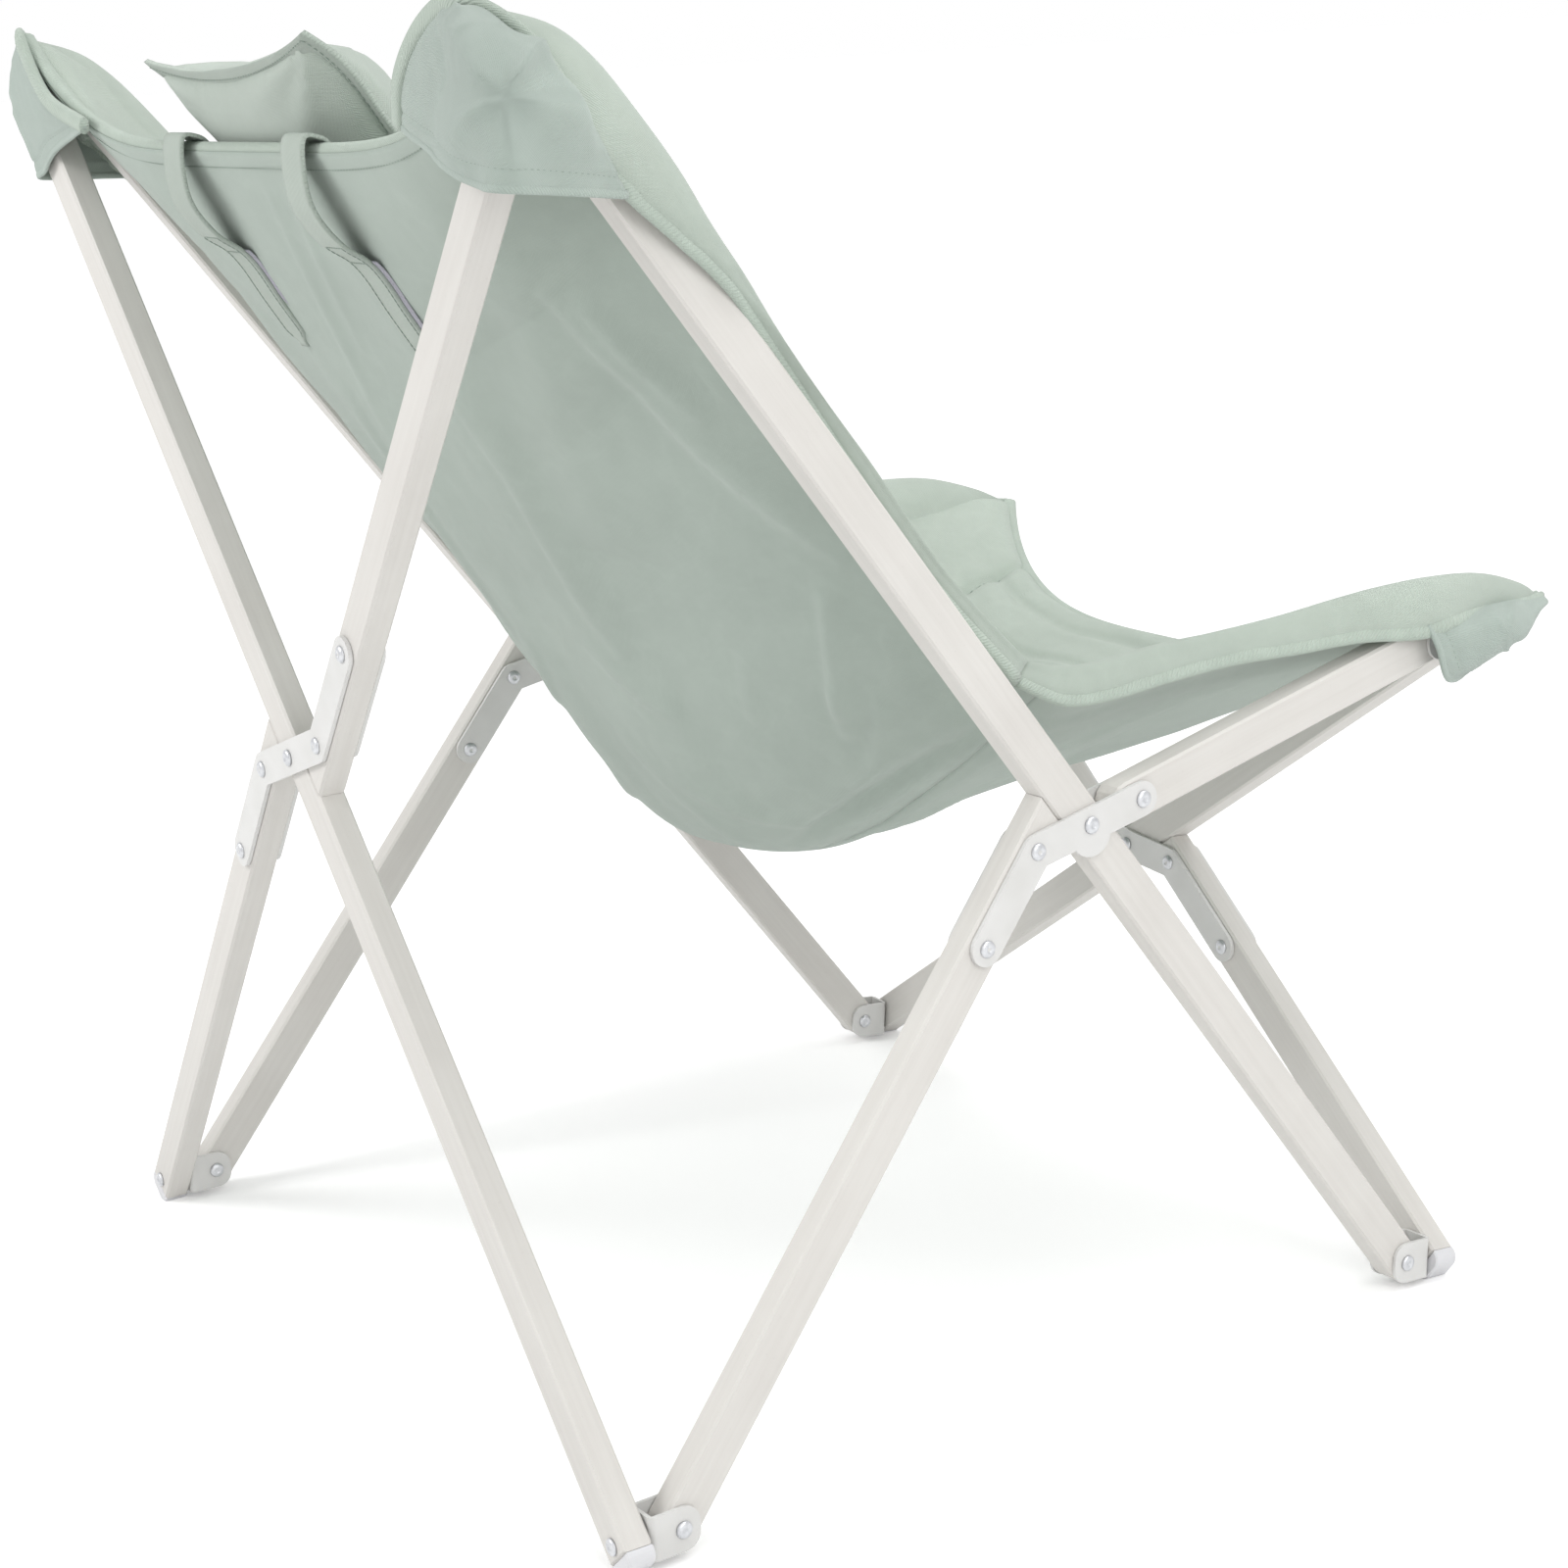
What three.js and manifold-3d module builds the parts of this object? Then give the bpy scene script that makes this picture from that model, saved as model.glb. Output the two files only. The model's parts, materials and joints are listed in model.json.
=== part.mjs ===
// Folding butterfly chair: four scissor frames joined in a ring, a hanging sling, a pillow and its straps.
// Millimetres, +Z up, +Y towards the front, origin on the floor under the middle of the chair.
import * as THREE from 'three';
import { mergeVertices } from 'three/addons/utils/BufferGeometryUtils.js';
import Module from 'manifold-3d';

const wasm = await Module();
wasm.setup();

// Plan of the frame
const REAR_HALF_SPAN = 375;       // middle of the chair to a rear foot pin
const FRONT_HALF_SPAN = 348;      // middle of the chair to a front foot pin
const PIN_DEPTH = 608;            // rear foot pins to front foot pins
const PIN_HEIGHT = 20.4;          // foot pins above the floor
const ORIGIN_DEPTH = 353;         // rear foot pins to the origin
const SIDE_LEAN = 0.0102;         // side scissors lean inwards, radians

// Heights and lengths of the scissors
const BACK_TOP_DROP = 6;          // upper swivels of the back below the top pins
const BACK_TOP_OUT = 6.39;       // the same, outside the top pins
const FRONT_TOP_OUT = -9.20;     // upper swivels of the front, outside the front top pins
const SIDE_CROSS_DEPTH = 331.5;   // side crossing, in front of the rear foot pins
const SIDE_CROSS_HEIGHT = 393.5;
const TOP_PIN_HEIGHT = 856;
const ARM_LENGTH = 277.5;         // seat arm, bolt to front top pin
const ARM_RISE = 0.228;           // seat arm above level, radians

// Bars
const BAR_WIDTH = 28;
const BAR_THICK = 19;
const BAR_EDGE = 1.6;
const BAR_END = 8.4;              // lower ends of back and front bars past the swivel
const BAR_TOP_END = 17;           // upper ends past the swivel
const CAP_LENGTH = 9.6;
const CAP_CORNER = 8.2;
const CAP_EDGE = 1;
const CAP_CUT = 1;                // depth of the flat that stands on the floor

// Brackets: two plates and their rivets
const PLATE = 3;
const STRAP_WIDTH = 23;
const SIDE_PLATE_BULGE = 16;      // radius of the side plates round the crossing
const BACK_RIVETS = [45, 134];    // along a half bar, from the point beside the crossing
const FRONT_RIVETS = [44, 130];
const SIDE_RIVETS = [34, 103];
const HALF_BAR_REACH = 38;        // half bar past its inner rivet
const ARM_HEEL = 9;               // seat arm past its bolt, short enough to turn beside the bar

// Yokes
const YOKE_REACH = 33;            // middle of the back or front bar to the pin
const YOKE_PLATE = 2.5;
const YOKE_HEIGHT = 29;
const YOKE_EAR_END = 12;          // pin to the end of the ear
const YOKE_EAR_CORNER = 11;
const YOKE_BEND = 4;

// Bolts, pins and rivets
const SHANK_RADIUS = 3;
const HEAD_RADIUS = 5;
const HEAD_HEIGHT = 2;

// Fits
const FIT = 0.3;                  // side gap between touching pieces
const HOLE_PLAY = 0.3;            // hole radius over shank radius

// Sling, pillow and straps
const CANVAS_BEHIND = 4.5;        // outer face of the sling behind its middle
const PAD_AHEAD = 13;             // padded face in front of its middle
const PAD_RIM = 3;                // the same at the bound edges
const PAD_UNDER_PILLOW = 4.5;
const PILLOW_BED = 190;           // length of the flattened pad behind the pillow
const BAR_TO_SLING = 11;          // front face of a side bar to the middle of the sling
const TOP_EDGE_DROP = 24;         // middle of the sling's top edge below the top pins
const TOP_EDGE_BEHIND = 30.4;     // the same, behind the top pins
const BELLY_DROP = 155;           // lowest middle of the sling below the front top pins
const BELLY_BEHIND = 5.5;         // the same, behind the side crossings
const FRONT_EDGE_RISE = 0.725;    // front edge's middle, as a share of the way up from the front crossing
const FRONT_EDGE_AHEAD = 39.4;    // the same, in front of the front top pins
const APEX_OVER_TOP = [1, -48, 52];      // corner of the sling from the top pin
const APEX_OVER_FRONT = [-20, 128, 6];   // corner of the sling from the front top pin
const POCKET_THICK = 3;
const POCKET_ROOM = 5;            // pocket off the frame inside it
const TOP_POCKET_DROP = 58;       // hem of a top pocket below the top pin
const FRONT_POCKET_HEM = 12;      // hem of a front pocket in front of the front top pin
const PILLOW_WIDTH = 300;
const PILLOW_HEIGHT = 222;
const PILLOW_FRONT_CROWN = 42;
const PILLOW_BACK_CROWN = 27;
const PILLOW_CURL = 14;           // the top edge curls to the rear
const PILLOW_PULL = 0.09;         // how far the sides draw in between the corners
const PILLOW_AHEAD = 58;          // middle of the pillow in front of the sling's top edge
const PILLOW_DROP = 32;           // middle of the pillow below the sling's top edge
const PILLOW_LEAN = 0.56;
const STRAP_SPACING = 200;
const PILLOW_STRAP_WIDTH = 32;
const PILLOW_STRAP_THICK = 2.4;
const STRAP_LOOP = 20;            // how far the loop stands off the sling
const STRAP_DROP = 142;           // strap end below the top edge, along the sling

// Finishes
const paint = () => new THREE.MeshStandardMaterial({ color: 0xe6e1d8, roughness: 0.5, metalness: 0 });
const plate = () => new THREE.MeshStandardMaterial({ color: 0xe4e4e0, roughness: 0.4, metalness: 0.1 });
const zinc = () => new THREE.MeshStandardMaterial({ color: 0xb9bcbe, roughness: 0.35, metalness: 0.9 });
const plastic = () => new THREE.MeshStandardMaterial({ color: 0xe3e3e6, roughness: 0.45, metalness: 0 });
const canvas = () => new THREE.MeshStandardMaterial({ color: 0xa9bfb0, roughness: 0.9, metalness: 0 });
const cotton = () => new THREE.MeshStandardMaterial({ color: 0xb7cdbc, roughness: 0.9, metalness: 0 });

// Solids and booleans

function toSolid(geometry) {
  const bare = geometry.clone();
  bare.deleteAttribute('normal');
  bare.deleteAttribute('uv');
  const merged = mergeVertices(bare, 1e-4);
  return new wasm.Manifold(new wasm.Mesh({
    numProp: 3,
    vertProperties: new Float32Array(merged.attributes.position.array),
    triVerts: new Uint32Array(merged.index.array),
  }));
}

function toGeometry(solid) {
  const mesh = solid.getMesh();
  const geometry = new THREE.BufferGeometry();
  geometry.setAttribute('position', new THREE.BufferAttribute(new Float32Array(mesh.vertProperties), 3));
  geometry.setIndex(new THREE.BufferAttribute(new Uint32Array(mesh.triVerts), 1));
  geometry.computeVertexNormals();
  return geometry;
}

function joinAll(geometries) {
  const solids = geometries.map(toSolid);
  return toGeometry(solids.slice(1).reduce((sum, next) => sum.add(next), solids[0]));
}

function cutAll(geometry, cutters) {
  return toGeometry(cutters.map(toSolid).reduce((rest, cutter) => rest.subtract(cutter), toSolid(geometry)));
}

// An outline extruded evenly to both sides of its plane, with eased edges.
function slab(shape, thick, edge = 0, segments = 5) {
  const geometry = new THREE.ExtrudeGeometry(shape, {
    depth: thick - 2 * edge,
    curveSegments: segments,
    bevelEnabled: edge > 0,
    bevelThickness: edge,
    bevelSize: edge,
    bevelOffset: -edge,
    bevelSegments: 1,
  });
  return geometry.translate(0, 0, edge - thick / 2);
}

// A rod through a plane at a point, square to the plane.
function rod(point, radius, from, to, sides = 10) {
  const geometry = new THREE.CylinderGeometry(radius, radius, to - from, sides);
  return geometry.rotateX(Math.PI / 2).translate(point.x, point.y, (from + to) / 2);
}

// A bolt or rivet with a low round head at each end, along Z between two faces.
function boltGeometry(lowFace, highFace) {
  const profile = [
    [0, lowFace - HEAD_HEIGHT], [HEAD_RADIUS * 0.75, lowFace - HEAD_HEIGHT], [HEAD_RADIUS, lowFace],
    [SHANK_RADIUS, lowFace], [SHANK_RADIUS, highFace],
    [HEAD_RADIUS, highFace], [HEAD_RADIUS * 0.75, highFace + HEAD_HEIGHT], [0, highFace + HEAD_HEIGHT],
  ].map(([r, h]) => new THREE.Vector2(r, h));
  return new THREE.LatheGeometry(profile, 10).rotateX(Math.PI / 2);
}

const flat = (p, q) => new THREE.Vector2(p, q);
const along = (from, to, distance) => to.clone().sub(from).setLength(distance).add(from);
const leftOf = (direction) => flat(-direction.y, direction.x);

// A point on the way from the foot to the crossing, moved one bar width off so that half bars fold beside the bar.
function halfBarFoot(foot, crossing, side) {
  const span = crossing.clone().sub(foot);
  const swing = side * Math.asin((BAR_WIDTH + FIT) / span.length());
  const direction = span.clone().normalize().rotateAround(flat(0, 0), swing);
  const nearest = Math.sqrt(span.lengthSq() - (BAR_WIDTH + FIT) ** 2);
  return { foot, direction, nearest };
}

// Points of a bar from one end to the other. An end is square, or round about its own pin.
function barOutline(start, end, startRound, endRound) {
  const direction = end.clone().sub(start).normalize();
  const across = leftOf(direction).multiplyScalar(BAR_WIDTH / 2);
  const points = [];
  const turn = (centre, firstAngle) => {
    for (let i = 0; i <= 8; i += 1) {
      const angle = firstAngle - Math.PI * i / 8;
      points.push(flat(Math.cos(angle), Math.sin(angle)).multiplyScalar(BAR_WIDTH / 2).add(centre));
    }
  };
  const heading = Math.atan2(direction.y, direction.x);
  if (endRound) turn(end, heading + Math.PI / 2);
  else points.push(end.clone().add(across), end.clone().sub(across));
  if (startRound) turn(start, heading - Math.PI / 2);
  else points.push(start.clone().sub(across), start.clone().add(across));
  return points.reverse();
}

// Keeps the part of an outline that lies a given distance or more to the left of a line.
function keepLeft(points, from, to, distance) {
  const normal = leftOf(to.clone().sub(from).normalize());
  const height = (point) => point.clone().sub(from).dot(normal) - distance;
  const kept = [];
  points.forEach((point, i) => {
    const next = points[(i + 1) % points.length];
    const here = height(point);
    const there = height(next);
    if (here >= 0) kept.push(point);
    if ((here >= 0) !== (there >= 0)) kept.push(point.clone().lerp(next, here / (here - there)));
  });
  return kept;
}

function barGeometry(points, holes) {
  const blank = slab(new THREE.Shape(points), BAR_THICK, BAR_EDGE);
  return cutAll(blank, holes.map((hole) => rod(hole, SHANK_RADIUS + HOLE_PLAY, -BAR_THICK, BAR_THICK)));
}

// One plate of a pair: a strap through its rivets. The riveted plate carries the rivets, the other has their holes.
function plateGeometry(path, rivets, boltHoles, side, bulgeAt, carriesRivets) {
  const inner = BAR_THICK / 2 + FIT;
  const outer = inner + PLATE;
  const low = side > 0 ? inner : -outer;
  const high = side > 0 ? outer : -inner;
  const pieces = path.slice(1).map((end, i) => {
    const start = path[i];
    const heading = Math.atan2(end.y - start.y, end.x - start.x);
    const shape = new THREE.Shape();
    shape.absarc(end.x, end.y, STRAP_WIDTH / 2, heading - Math.PI / 2, heading + Math.PI / 2);
    shape.absarc(start.x, start.y, STRAP_WIDTH / 2, heading + Math.PI / 2, heading + 1.5 * Math.PI);
    return slab(shape, PLATE).translate(0, 0, (low + high) / 2);
  });
  if (bulgeAt) pieces.push(rod(bulgeAt, SIDE_PLATE_BULGE, low, high, 20));
  const holes = boltHoles.map((point) => rod(point, SHANK_RADIUS + HOLE_PLAY, low - 1, high + 1));
  if (!carriesRivets) {
    rivets.forEach((point) => holes.push(rod(point, SHANK_RADIUS + HOLE_PLAY, low - 1, high + 1)));
    return cutAll(joinAll(pieces), holes);
  }
  rivets.forEach((point) => {
    pieces.push(boltGeometry(-outer - FIT, outer).translate(point.x, point.y, 0));
  });
  return cutAll(joinAll(pieces), holes);
}

// The chair and its planes

const chair = new THREE.Group();
chair.position.y = -ORIGIN_DEPTH;

function addMesh(parent, name, geometry, material) {
  const mesh = new THREE.Mesh(geometry, material);
  mesh.name = name;
  parent.add(mesh);
  return mesh;
}

// A group whose XY plane is the plane of a scissor: X runs along the floor, Y up the scissor.
function planeGroup(origin, forward, up) {
  const group = new THREE.Group();
  const ahead = forward.clone().normalize();
  const normal = ahead.clone().cross(up).normalize();
  const rise = normal.clone().cross(ahead);
  group.matrix.makeBasis(ahead, rise, normal).setPosition(origin);
  group.matrix.decompose(group.position, group.quaternion, group.scale);
  chair.add(group);
  return group;
}

const TOE = (REAR_HALF_SPAN - FRONT_HALF_SPAN) / PIN_DEPTH;
const sideGroup = (side) => planeGroup(
  new THREE.Vector3(side * REAR_HALF_SPAN, 0, PIN_HEIGHT),
  new THREE.Vector3(-side * TOE, 1, 0),
  new THREE.Vector3(-side * SIDE_LEAN, 0, 1),
);
const rightPlane = sideGroup(1);
const leftPlane = sideGroup(-1);
rightPlane.updateMatrixWorld();

// A point of the right side plane in the chair's own frame, moved outwards if asked.
function sidePoint(point, outwards = 0) {
  return new THREE.Vector3(point.x, point.y, outwards).applyMatrix4(rightPlane.matrix);
}

// Height of the swivel over the floor that leaves the foot cap cut flat by CAP_CUT.
function swivelHeight(slope) {
  const reach = BAR_END + FIT + CAP_LENGTH;
  const cornerIn = BAR_WIDTH / 2 - CAP_CORNER;
  return (reach - CAP_CORNER) * Math.cos(slope) + cornerIn * Math.sin(slope) + CAP_CORNER - CAP_CUT;
}

// Side scissors, drawn from the rear foot pin

const alongToe = Math.hypot(1, TOE);
const rearPin = flat(0, 0);
const frontPin = flat(PIN_DEPTH * alongToe, 0);
const sideCross = flat(SIDE_CROSS_DEPTH * alongToe, SIDE_CROSS_HEIGHT - PIN_HEIGHT);
const topPin = frontPin.clone().lerp(sideCross, (TOP_PIN_HEIGHT - PIN_HEIGHT) / sideCross.y);
const sideHalf = halfBarFoot(rearPin, sideCross, 1);
const sideRivets = SIDE_RIVETS.map((back) => sideHalf.direction.clone().multiplyScalar(sideHalf.nearest - back));
const armBolt = sideCross.clone().multiplyScalar(2).sub(sideRivets[0]);
const armDirection = flat(Math.cos(ARM_RISE), Math.sin(ARM_RISE));
const frontTopPin = armDirection.clone().multiplyScalar(ARM_LENGTH).add(armBolt);

function addSide(group, word) {
  const clear = BAR_WIDTH / 2 + FIT;
  const lowerEnd = sideHalf.direction.clone().multiplyScalar(sideHalf.nearest - SIDE_RIVETS[0] + HALF_BAR_REACH);
  const lower = keepLeft(barOutline(rearPin, lowerEnd, true, false), frontPin, topPin, clear);
  const armStart = armDirection.clone().multiplyScalar(-ARM_HEEL).add(armBolt);
  const arm = barOutline(armStart, frontTopPin, true, true);
  addMesh(group, `${word}_straight_bar`,
    barGeometry(barOutline(frontPin, topPin, true, true), [frontPin, sideCross, topPin]), paint());
  addMesh(group, `${word}_lower_bar`, barGeometry(lower, [rearPin, ...sideRivets]), paint());
  addMesh(group, `${word}_seat_arm`, barGeometry(arm, [armBolt, frontTopPin]), paint());
  const path = [sideRivets[1], sideRivets[0], sideCross, armBolt];
  const outward = word === 'right' ? 1 : -1;
  const bulge = sideCross.clone().add(flat(0, -SIDE_PLATE_BULGE * 0.3));
  addMesh(group, `${word}_plate_outer`,
    plateGeometry(path, sideRivets, [sideCross, armBolt], outward, bulge, outward > 0), plate());
  addMesh(group, `${word}_plate_inner`,
    plateGeometry(path, sideRivets, [sideCross, armBolt], -outward, bulge, outward < 0), plate());
  const face = BAR_THICK / 2 + 2 * FIT + PLATE;
  addMesh(group, `${word}_cross_bolt`, boltGeometry(-face, face), zinc()).position.set(sideCross.x, sideCross.y, 0);
  addMesh(group, `${word}_arm_bolt`, boltGeometry(-face, face), zinc()).position.set(armBolt.x, armBolt.y, 0);
}
addSide(rightPlane, 'right');
addSide(leftPlane, 'left');

// Back and front scissors, drawn from the middle of the line through the foot swivels

function addScissor(word, halfSpan, pinDepth, lean, crossHeight, topHeight, rivetSteps) {
  const slope = Math.atan2(halfSpan, crossHeight - PIN_HEIGHT);
  const floorToSwivel = swivelHeight(slope);
  const reach = YOKE_REACH * Math.hypot(1, lean) * (word === 'back' ? -1 : 1);
  const depth = pinDepth + reach + lean * (floorToSwivel - PIN_HEIGHT);
  const group = planeGroup(
    new THREE.Vector3(0, depth, floorToSwivel),
    new THREE.Vector3(1, 0, 0),
    new THREE.Vector3(0, lean, 1),
  );
  const cross = flat(0, (crossHeight - floorToSwivel) * Math.hypot(1, lean));
  const rightFoot = flat(halfSpan, 0);
  const leftFoot = flat(-halfSpan, 0);
  const topShare = (topHeight - floorToSwivel) / (crossHeight - floorToSwivel);
  const straightUp = word === 'back' ? rightFoot : leftFoot;
  const splitUp = word === 'back' ? leftFoot : rightFoot;
  const straightTop = straightUp.clone().lerp(cross, topShare);
  const splitTop = splitUp.clone().lerp(cross, topShare);
  const turn = word === 'back' ? 1 : -1;
  const lowerHalf = halfBarFoot(splitUp, cross, turn);
  const upperHalf = halfBarFoot(splitTop, cross, turn);
  const place = (half, distance) => half.direction.clone().multiplyScalar(distance).add(half.foot);
  const rivets = [lowerHalf, upperHalf].map((half) => rivetSteps.map((back) => place(half, half.nearest - back)));
  const clear = BAR_WIDTH / 2 + FIT;
  const straightFrom = along(straightUp, cross, -BAR_END);
  const straightTo = along(straightTop, cross, -BAR_TOP_END);
  const halfEnd = (half) => place(half, half.nearest - rivetSteps[0] + HALF_BAR_REACH);
  const lower = barOutline(place(lowerHalf, -BAR_END), halfEnd(lowerHalf), false, false);
  const upper = barOutline(place(upperHalf, -BAR_TOP_END), halfEnd(upperHalf), false, false);
  const lowLine = turn > 0 ? [straightUp, straightTop] : [straightTop, straightUp];
  addMesh(group, `${word}_straight_bar`,
    barGeometry(barOutline(straightFrom, straightTo, false, false), [straightUp, cross]), paint());
  addMesh(group, `${word}_lower_bar`,
    barGeometry(keepLeft(lower, lowLine[0], lowLine[1], clear), [splitUp, ...rivets[0]]), paint());
  addMesh(group, `${word}_upper_bar`,
    barGeometry(keepLeft(upper, lowLine[1], lowLine[0], clear), rivets[1]), paint());
  const path = [rivets[0][1], rivets[0][0], cross, rivets[1][0], rivets[1][1]];
  addMesh(group, `${word}_plate_rear`, plateGeometry(path, rivets.flat(), [cross], 1, null, true), plate());
  addMesh(group, `${word}_plate_front`, plateGeometry(path, rivets.flat(), [cross], -1, null, false), plate());
  const face = BAR_THICK / 2 + 2 * FIT + PLATE;
  addMesh(group, `${word}_cross_bolt`, boltGeometry(-face, face), zinc()).position.set(cross.x, cross.y, 0);

  // Foot caps close the lower ends and are cut flat by the floor.
  const floor = new THREE.BoxGeometry(4 * halfSpan, 100, 200).translate(0, -50, 0);
  floor.rotateX(Math.atan(lean)).translate(0, -floorToSwivel * Math.hypot(1, lean), 0);
  [[straightUp, cross.clone().sub(straightUp)], [splitUp, lowerHalf.direction]].forEach(([foot, rise]) => {
    const side = foot.x > 0 ? 'right' : 'left';
    const row = word === 'back' ? 'rear' : 'front';
    addMesh(group, `${row}_${side}_foot_cap`, cutAll(capGeometry(foot, rise.clone().normalize()), [floor]), plastic());
  });
  return { group, rightFoot, leftFoot, floorToSwivel };
}

// A foot cap: as wide as the bar, with both outer corners rounded.
function capGeometry(foot, rise) {
  const seam = -BAR_END - FIT;
  const end = seam - CAP_LENGTH;
  const half = BAR_WIDTH / 2;
  const shape = new THREE.Shape();
  shape.moveTo(-half, seam);
  shape.lineTo(-half, end + CAP_CORNER);
  shape.absarc(-half + CAP_CORNER, end + CAP_CORNER, CAP_CORNER, Math.PI, 1.5 * Math.PI);
  shape.absarc(half - CAP_CORNER, end + CAP_CORNER, CAP_CORNER, 1.5 * Math.PI, 2 * Math.PI);
  shape.lineTo(half, seam);
  const geometry = slab(shape, BAR_THICK, CAP_EDGE, 3);
  return geometry.rotateZ(Math.atan2(rise.y, rise.x) - Math.PI / 2).translate(foot.x, foot.y, 0);
}

// The back and front scissors stand parallel to the lines through their lower and upper pins.
const topCorner = sidePoint(topPin);
const frontCorner = sidePoint(frontTopPin);
const backLean = topCorner.y / (topCorner.z - PIN_HEIGHT);
const frontLean = (frontCorner.y - PIN_DEPTH) / (frontCorner.z - PIN_HEIGHT);

// Each bar runs from a foot to the top corner of the other side, which sets where it crosses the other.
function crossingHeight(halfSpan, topHalfSpan, topHeight) {
  const low = swivelHeight(Math.atan2(halfSpan + topHalfSpan, topHeight - PIN_HEIGHT));
  return low + (topHeight - low) * halfSpan / (halfSpan + topHalfSpan);
}

const backHalfSpan = REAR_HALF_SPAN + YOKE_REACH * TOE;
const backTop = topCorner.z - BACK_TOP_DROP;
const backCross = crossingHeight(backHalfSpan, topCorner.x + BACK_TOP_OUT, backTop);
const frontHalfSpan = FRONT_HALF_SPAN - YOKE_REACH * TOE;
const frontCross = crossingHeight(frontHalfSpan, frontCorner.x + FRONT_TOP_OUT, frontCorner.z);
const back = addScissor('back', backHalfSpan, 0, backLean, backCross, backTop, BACK_RIVETS);
const front = addScissor('front', frontHalfSpan, PIN_DEPTH, frontLean, frontCross, frontCorner.z, FRONT_RIVETS);

// Yokes: a bent U, drawn about its pin with the base to the rear, the pin along X

const yokeGap = BAR_THICK / 2 + FIT;
const yokeOuter = yokeGap + YOKE_PLATE;
const yokeBack = YOKE_REACH - BAR_THICK / 2 - FIT - yokeOuter * TOE;

function yokeGeometry(swivelRise) {
  const plan = new THREE.Shape();
  plan.moveTo(yokeOuter, YOKE_EAR_END);
  plan.lineTo(yokeGap, YOKE_EAR_END);
  plan.lineTo(yokeGap, -yokeBack + YOKE_PLATE);
  plan.lineTo(-yokeGap, -yokeBack + YOKE_PLATE);
  plan.lineTo(-yokeGap, YOKE_EAR_END);
  plan.lineTo(-yokeOuter, YOKE_EAR_END);
  plan.lineTo(-yokeOuter, -yokeBack + YOKE_BEND);
  plan.absarc(-yokeOuter + YOKE_BEND, -yokeBack + YOKE_BEND, YOKE_BEND, Math.PI, 1.5 * Math.PI);
  plan.absarc(yokeOuter - YOKE_BEND, -yokeBack + YOKE_BEND, YOKE_BEND, 1.5 * Math.PI, 2 * Math.PI);
  const bent = slab(plan, YOKE_HEIGHT, 0, 3);
  const half = YOKE_HEIGHT / 2;
  const ear = new THREE.Shape();
  ear.moveTo(-yokeBack - 1, -half - 1);
  ear.lineTo(YOKE_EAR_END - YOKE_EAR_CORNER, -half - 1);
  ear.lineTo(YOKE_EAR_END - YOKE_EAR_CORNER, -half);
  ear.absarc(YOKE_EAR_END - YOKE_EAR_CORNER, -half + YOKE_EAR_CORNER, YOKE_EAR_CORNER, -Math.PI / 2, 0);
  ear.absarc(YOKE_EAR_END - YOKE_EAR_CORNER, half - YOKE_EAR_CORNER, YOKE_EAR_CORNER, 0, Math.PI / 2);
  ear.lineTo(YOKE_EAR_END - YOKE_EAR_CORNER, half + 1);
  ear.lineTo(-yokeBack - 1, half + 1);
  const side = slab(ear, 4 * yokeOuter, 0, 3).rotateY(Math.PI / 2).rotateX(Math.PI / 2);
  const rounded = toGeometry(toSolid(bent).intersect(toSolid(side)));
  const pinHole = rod(flat(0, 0), SHANK_RADIUS + HOLE_PLAY, -2 * yokeOuter, 2 * yokeOuter).rotateY(Math.PI / 2);
  if (swivelRise === null) return cutAll(rounded, [pinHole]);
  // The swivel hole is wide enough for the toe-in between the bolt and the base.
  const swivelHole = rod(flat(0, 0), SHANK_RADIUS + 3 * HOLE_PLAY, -2 * yokeBack, 0).rotateX(-Math.PI / 2);
  return cutAll(rounded, [pinHole, swivelHole.translate(0, 0, swivelRise)]);
}

// Puts a yoke and its pin on a side plane, tilted so that its base lies along the back or front scissor.
function addYoke(group, name, pin, lean, facesRear, swivelRise) {
  const holder = new THREE.Group();
  holder.position.set(pin.x, pin.y, 0);
  holder.rotation.z = -lean;
  group.add(holder);
  const turned = new THREE.Group();
  turned.matrix.makeBasis(new THREE.Vector3(0, 0, 1), new THREE.Vector3(facesRear ? -1 : 1, 0, 0),
    new THREE.Vector3(0, facesRear ? -1 : 1, 0));
  turned.matrix.decompose(turned.position, turned.quaternion, turned.scale);
  holder.add(turned);
  addMesh(turned, `${name}_yoke`, yokeGeometry(swivelRise), plate());
  const face = yokeOuter + FIT;
  addMesh(holder, `${name}_pin`, boltGeometry(-face, face), zinc());
}

[[rightPlane, 'right'], [leftPlane, 'left']].forEach(([group, side]) => {
  const rearRise = (back.floorToSwivel - PIN_HEIGHT) * Math.hypot(1, backLean) - YOKE_REACH * backLean;
  addYoke(group, `rear_${side}_foot`, rearPin, backLean, false, rearRise);
  addYoke(group, `front_${side}_foot`, frontPin, frontLean, true, null);
  addYoke(group, `top_${side}`, topPin, backLean, false, null);
  addYoke(group, `front_top_${side}`, frontTopPin, frontLean, true, null);
});

// Swivel bolts of the feet: through the bar and, where the joint stays closed, through the yoke's base.
function addSwivel(scissor, foot, name, throughYoke) {
  const outside = BAR_THICK / 2 + FIT;
  const yokeSide = YOKE_REACH - yokeBack + YOKE_PLATE + 2 * FIT;
  const bolt = throughYoke ? boltGeometry(-yokeSide, outside) : studGeometry(outside);
  const holder = new THREE.Group();
  holder.position.set(foot.x, foot.y, 0);
  if (scissor === front) holder.rotation.x = Math.PI;
  scissor.group.add(holder);
  addMesh(holder, name, bolt, zinc());
}

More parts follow.
